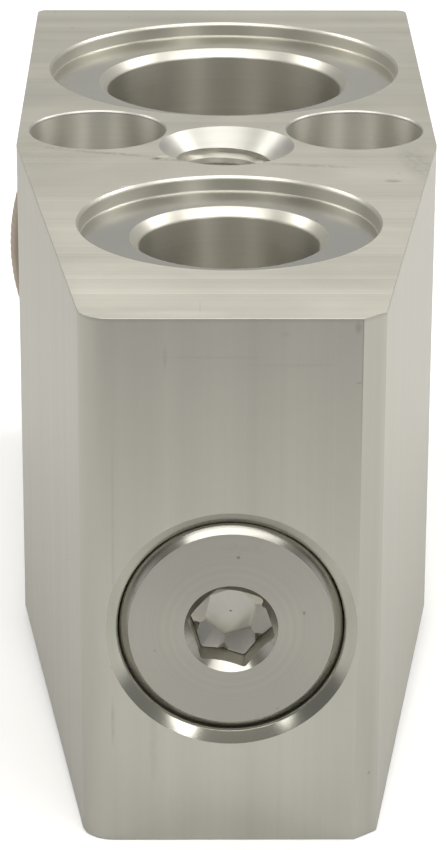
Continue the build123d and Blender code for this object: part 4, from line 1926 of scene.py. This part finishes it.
@dataclass
class Studio:
    """Camera, floor and soft light."""

    lens: float = 145.13
    eye: Point = (-2.79, -256.63, 116.69)
    yaw: float = 0.592
    pitch: float = 21.403
    roll: float = 0.203
    floor_half_width: float = 900.0
    floor_front: float = -235.0
    floor_back: float = 1500.0
    floor_white: float = 1.0
    floor_glow: float = 0.08
    floor_gap: float = 0.02
    head_rest: tuple[float, float] = (37.6, 0.0)
    # The floor in reflections, by place in metres, graded as painted light and shade: its grey
    # ahead of the valve, darker far ahead, and what that is multiplied by behind (lighter there),
    # across (lighter to the right) and near the foot's place (a painted shadow)
    floor_ahead: Grade = (-0.17, -0.08, 0.33, 0.62)
    floor_behind: Grade = (-0.05, 0.03, 1.0, 1.12)
    floor_across: Grade = (-0.12, 0.12, 0.88, 1.1)
    floor_foot_shadow: Grade = (0.0, 0.012, 0.93, 1.0)
    foot_place: float = -0.047
    # The room's light by direction: its share upwards, back and across, what is added far aside,
    # and how much of the high light's colour it has
    room_rise: Grade = (0.3, 0.8, 0.47, 1.0)
    room_back: Grade = (-0.35, 0.45, 0.45, 1.0)
    room_across: Grade = (-0.7, 0.7, 0.9, 1.12)
    room_aside: Grade = (0.8, 0.95, 0.0, 0.5)
    room_warmth: Grade = (0.2, 0.6, 0.0, 1.0)
    backdrop: Colour = (1.0, 1.0, 0.99)
    low_light: Colour = (0.99, 1.0, 0.985)
    high_light: Colour = (1.0, 0.975, 0.92)
    panel_reach: float = 700.0
    # Each panel's name, direction from the valve, width and height, and radiance
    panels: tuple[tuple[str, Point, tuple[float, float], float], ...] = (
        ("overhead_panel", (0.04, -0.33, 0.94), (960, 345), 3.0),
        ("right_panel", (0.62, 0.33, 0.72), (190, 250), 5.4),
        ("left_panel", (-0.62, 0.33, 0.72), (190, 250), 4.6),
        ("front_right_panel", (0.40, -0.79, 0.47), (170, 90), 4.5),
        ("front_left_panel", (-0.43, -0.78, 0.45), (90, 80), 2.5),
    )

    def camera(self) -> None:
        """Sets the camera at the photograph's place: it looks back along Y and down."""
        data = bpy.data.cameras.new("camera")
        data.lens = self.lens
        data.sensor_width = 36.0
        data.clip_start, data.clip_end = 0.01, 20.0
        camera = bpy.data.objects.new("camera", data)
        bpy.context.scene.collection.objects.link(camera)
        yaw, pitch, roll = np.radians([self.yaw, self.pitch, self.roll])
        level = np.cos(pitch)
        ahead = np.array([np.sin(yaw) * level, np.cos(yaw) * level, -np.sin(pitch)])
        right = np.array([np.cos(yaw), -np.sin(yaw), 0.0])
        above = np.cross(right, ahead)
        side = right * np.cos(roll) + above * np.sin(roll)
        upright = above * np.cos(roll) - right * np.sin(roll)
        turned = np.eye(4)
        turned[:3, 0], turned[:3, 1], turned[:3, 2] = side, upright, -ahead
        turned[:3, 3] = np.array(self.eye) * MM
        camera.matrix_world = Matrix(turned.tolist())
        bpy.context.scene.camera = camera

    def floor(self) -> None:
        """Lays the floor under the valve's two resting edges, the head's rim and the front.

        It is white to the camera and clear to a camera below. In reflections it is a grey with
        painted light and shade: darker far ahead, lighter behind and to the right, and a painted
        shadow at the foot.
        """
        head = np.array(self.head_rest)
        front = np.array([LAYOUT.front, LAYOUT.bottom])
        slope = (front[1] - head[1]) / (front[0] - head[0])
        half = self.floor_half_width
        across, along = np.meshgrid(
            np.linspace(-half, half, 3), np.linspace(self.floor_front, self.floor_back, 3)
        )
        height = slope * (along - head[0]) - self.floor_gap
        points = np.stack([across, along, height], -1).reshape(-1, 3)
        shell = Shell(points, grid_faces(3, 3, False, False).tolist(), [0] * 4)
        material = bpy.data.materials.new("floor_paper")
        material.use_nodes = True
        tree = material.node_tree
        sheet = NodeSheet(tree)
        shader = tree.nodes["Principled BSDF"]
        shown = sheet.add("ShaderNodeLightPath").outputs["Is Camera Ray"]
        place = sheet.add("ShaderNodeTexCoord").outputs["Object"]
        parts = sheet.add("ShaderNodeSeparateXYZ", {0: place}).outputs
        # painted light and shade in reflections: darker far ahead, lighter behind and to the right,
        # and a painted shadow at the foot
        ahead = sheet.graded(parts["Y"], self.floor_ahead)
        behind = sheet.graded(parts["Y"], self.floor_behind)
        sideways = sheet.graded(parts["X"], self.floor_across)
        foot = sheet.maths("ABSOLUTE", sheet.maths("ADD", parts["Y"], -self.foot_place))
        shaded = sheet.graded(foot, self.floor_foot_shadow)
        painted_floor_light = sheet.maths("MULTIPLY", sheet.maths("MULTIPLY", ahead, behind), sideways)
        painted_floor_light = sheet.maths("MULTIPLY", painted_floor_light, shaded)
        grey = sheet.add("ShaderNodeMix", {0: shown, 2: painted_floor_light, 3: self.floor_white}).outputs[0]
        tree.links.new(grey, shader.inputs["Base Color"])
        glow = sheet.maths("MULTIPLY", shown, self.floor_glow)
        tree.links.new(glow, shader.inputs["Emission Strength"])
        shader.inputs["Emission Color"].default_value = (1.0, 1.0, 1.0, 1.0)
        shader.inputs["Roughness"].default_value = 0.9
        shader.inputs["Specular IOR Level"].default_value = 0.1
        under = sheet.add("ShaderNodeNewGeometry").outputs["Backfacing"]
        clear = sheet.add("ShaderNodeBsdfTransparent")
        cover = sheet.add(
            "ShaderNodeMixShader",
            {0: sheet.maths("MULTIPLY", under, shown), 1: shader.outputs[0], 2: clear.outputs[0]},
        )
        tree.links.new(cover.outputs[0], tree.nodes["Material Output"].inputs["Surface"])
        mesh_object("floor", shell, [material])

    def world(self) -> None:
        """Makes the room.

        As light and in reflections it is pale above, behind and far aside, and darker low and
        in front, with a warmer high light. The camera sees the plain backdrop instead.
        """
        world = bpy.data.worlds.new("studio")
        bpy.context.scene.world = world
        world.use_nodes = True
        tree = world.node_tree
        tree.nodes.clear()
        sheet = NodeSheet(tree)
        way = sheet.add("ShaderNodeTexCoord").outputs["Generated"]
        parts = sheet.add("ShaderNodeSeparateXYZ", {0: way}).outputs
        rise = sheet.graded(parts["Z"], self.room_rise)
        depth = sheet.graded(parts["Y"], self.room_back)
        side = sheet.graded(parts["X"], self.room_across)
        strength = sheet.maths("MULTIPLY", sheet.maths("MULTIPLY", rise, depth), side)
        aside = sheet.graded(sheet.maths("ABSOLUTE", parts["X"]), self.room_aside)
        strength = sheet.maths("ADD", strength, aside)
        warmth = sheet.graded(parts["Z"], self.room_warmth)
        tone = sheet.add(
            "ShaderNodeMix",
            {"Factor": warmth, "A": (*self.low_light, 1), "B": (*self.high_light, 1)},
            data_type="RGBA",
        )
        room = sheet.add(
            "ShaderNodeBackground", {"Color": tone.outputs["Result"], "Strength": strength}
        )
        shown = sheet.add("ShaderNodeBackground", {"Color": (*self.backdrop, 1), "Strength": 1.0})
        seen = sheet.add("ShaderNodeLightPath").outputs["Is Camera Ray"]
        faces = {0: seen, 1: room.outputs[0], 2: shown.outputs[0]}
        mixed = sheet.add("ShaderNodeMixShader", faces)
        sheet.add("ShaderNodeOutputWorld", {"Surface": mixed.outputs[0]})

    def panel(self, name: str, way: Point, size: tuple[float, float], radiance: float) -> None:
        """Hangs one soft panel that faces the valve.

        Args:
            name: the light's name.
            way: the direction from the valve to the panel.
            size: its width and height.
            radiance: how bright its face is, where the backdrop is about one.
        """
        data = bpy.data.lights.new(name, "AREA")
        data.shape = "RECTANGLE"
        data.size, data.size_y = size[0] * MM, size[1] * MM
        data.energy = radiance * np.pi * data.size * data.size_y
        light = bpy.data.objects.new(name, data)
        bpy.context.scene.collection.objects.link(light)
        direction = Vector(way).normalized()
        turned = (-direction).to_track_quat("-Z", "Y").to_matrix().to_4x4()
        light.matrix_world = Matrix.Translation(direction * self.panel_reach * MM) @ turned
        light.visible_camera = False

    def build(self) -> None:
        """Sets the whole stage."""
        self.camera()
        self.floor()
        self.world()
        for name, way, size, radiance in self.panels:
            self.panel(name, way, size, radiance)
        settings = bpy.context.scene.view_settings
        settings.view_transform = "Standard"
        settings.look = "None"


def main() -> None:
    """Builds every piece in order."""
    logging.basicConfig(level=logging.INFO, format="%(name)s: %(message)s")
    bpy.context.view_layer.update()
    shared = Shared()
    InnerParts().build(shared)
    ValveBlock().build(shared)
    AdjustingPlug().build(shared)
    PowerHead().build(shared)
    BiasSpring().build(shared)
    Studio().build()


if __name__ == "__main__":
    main()
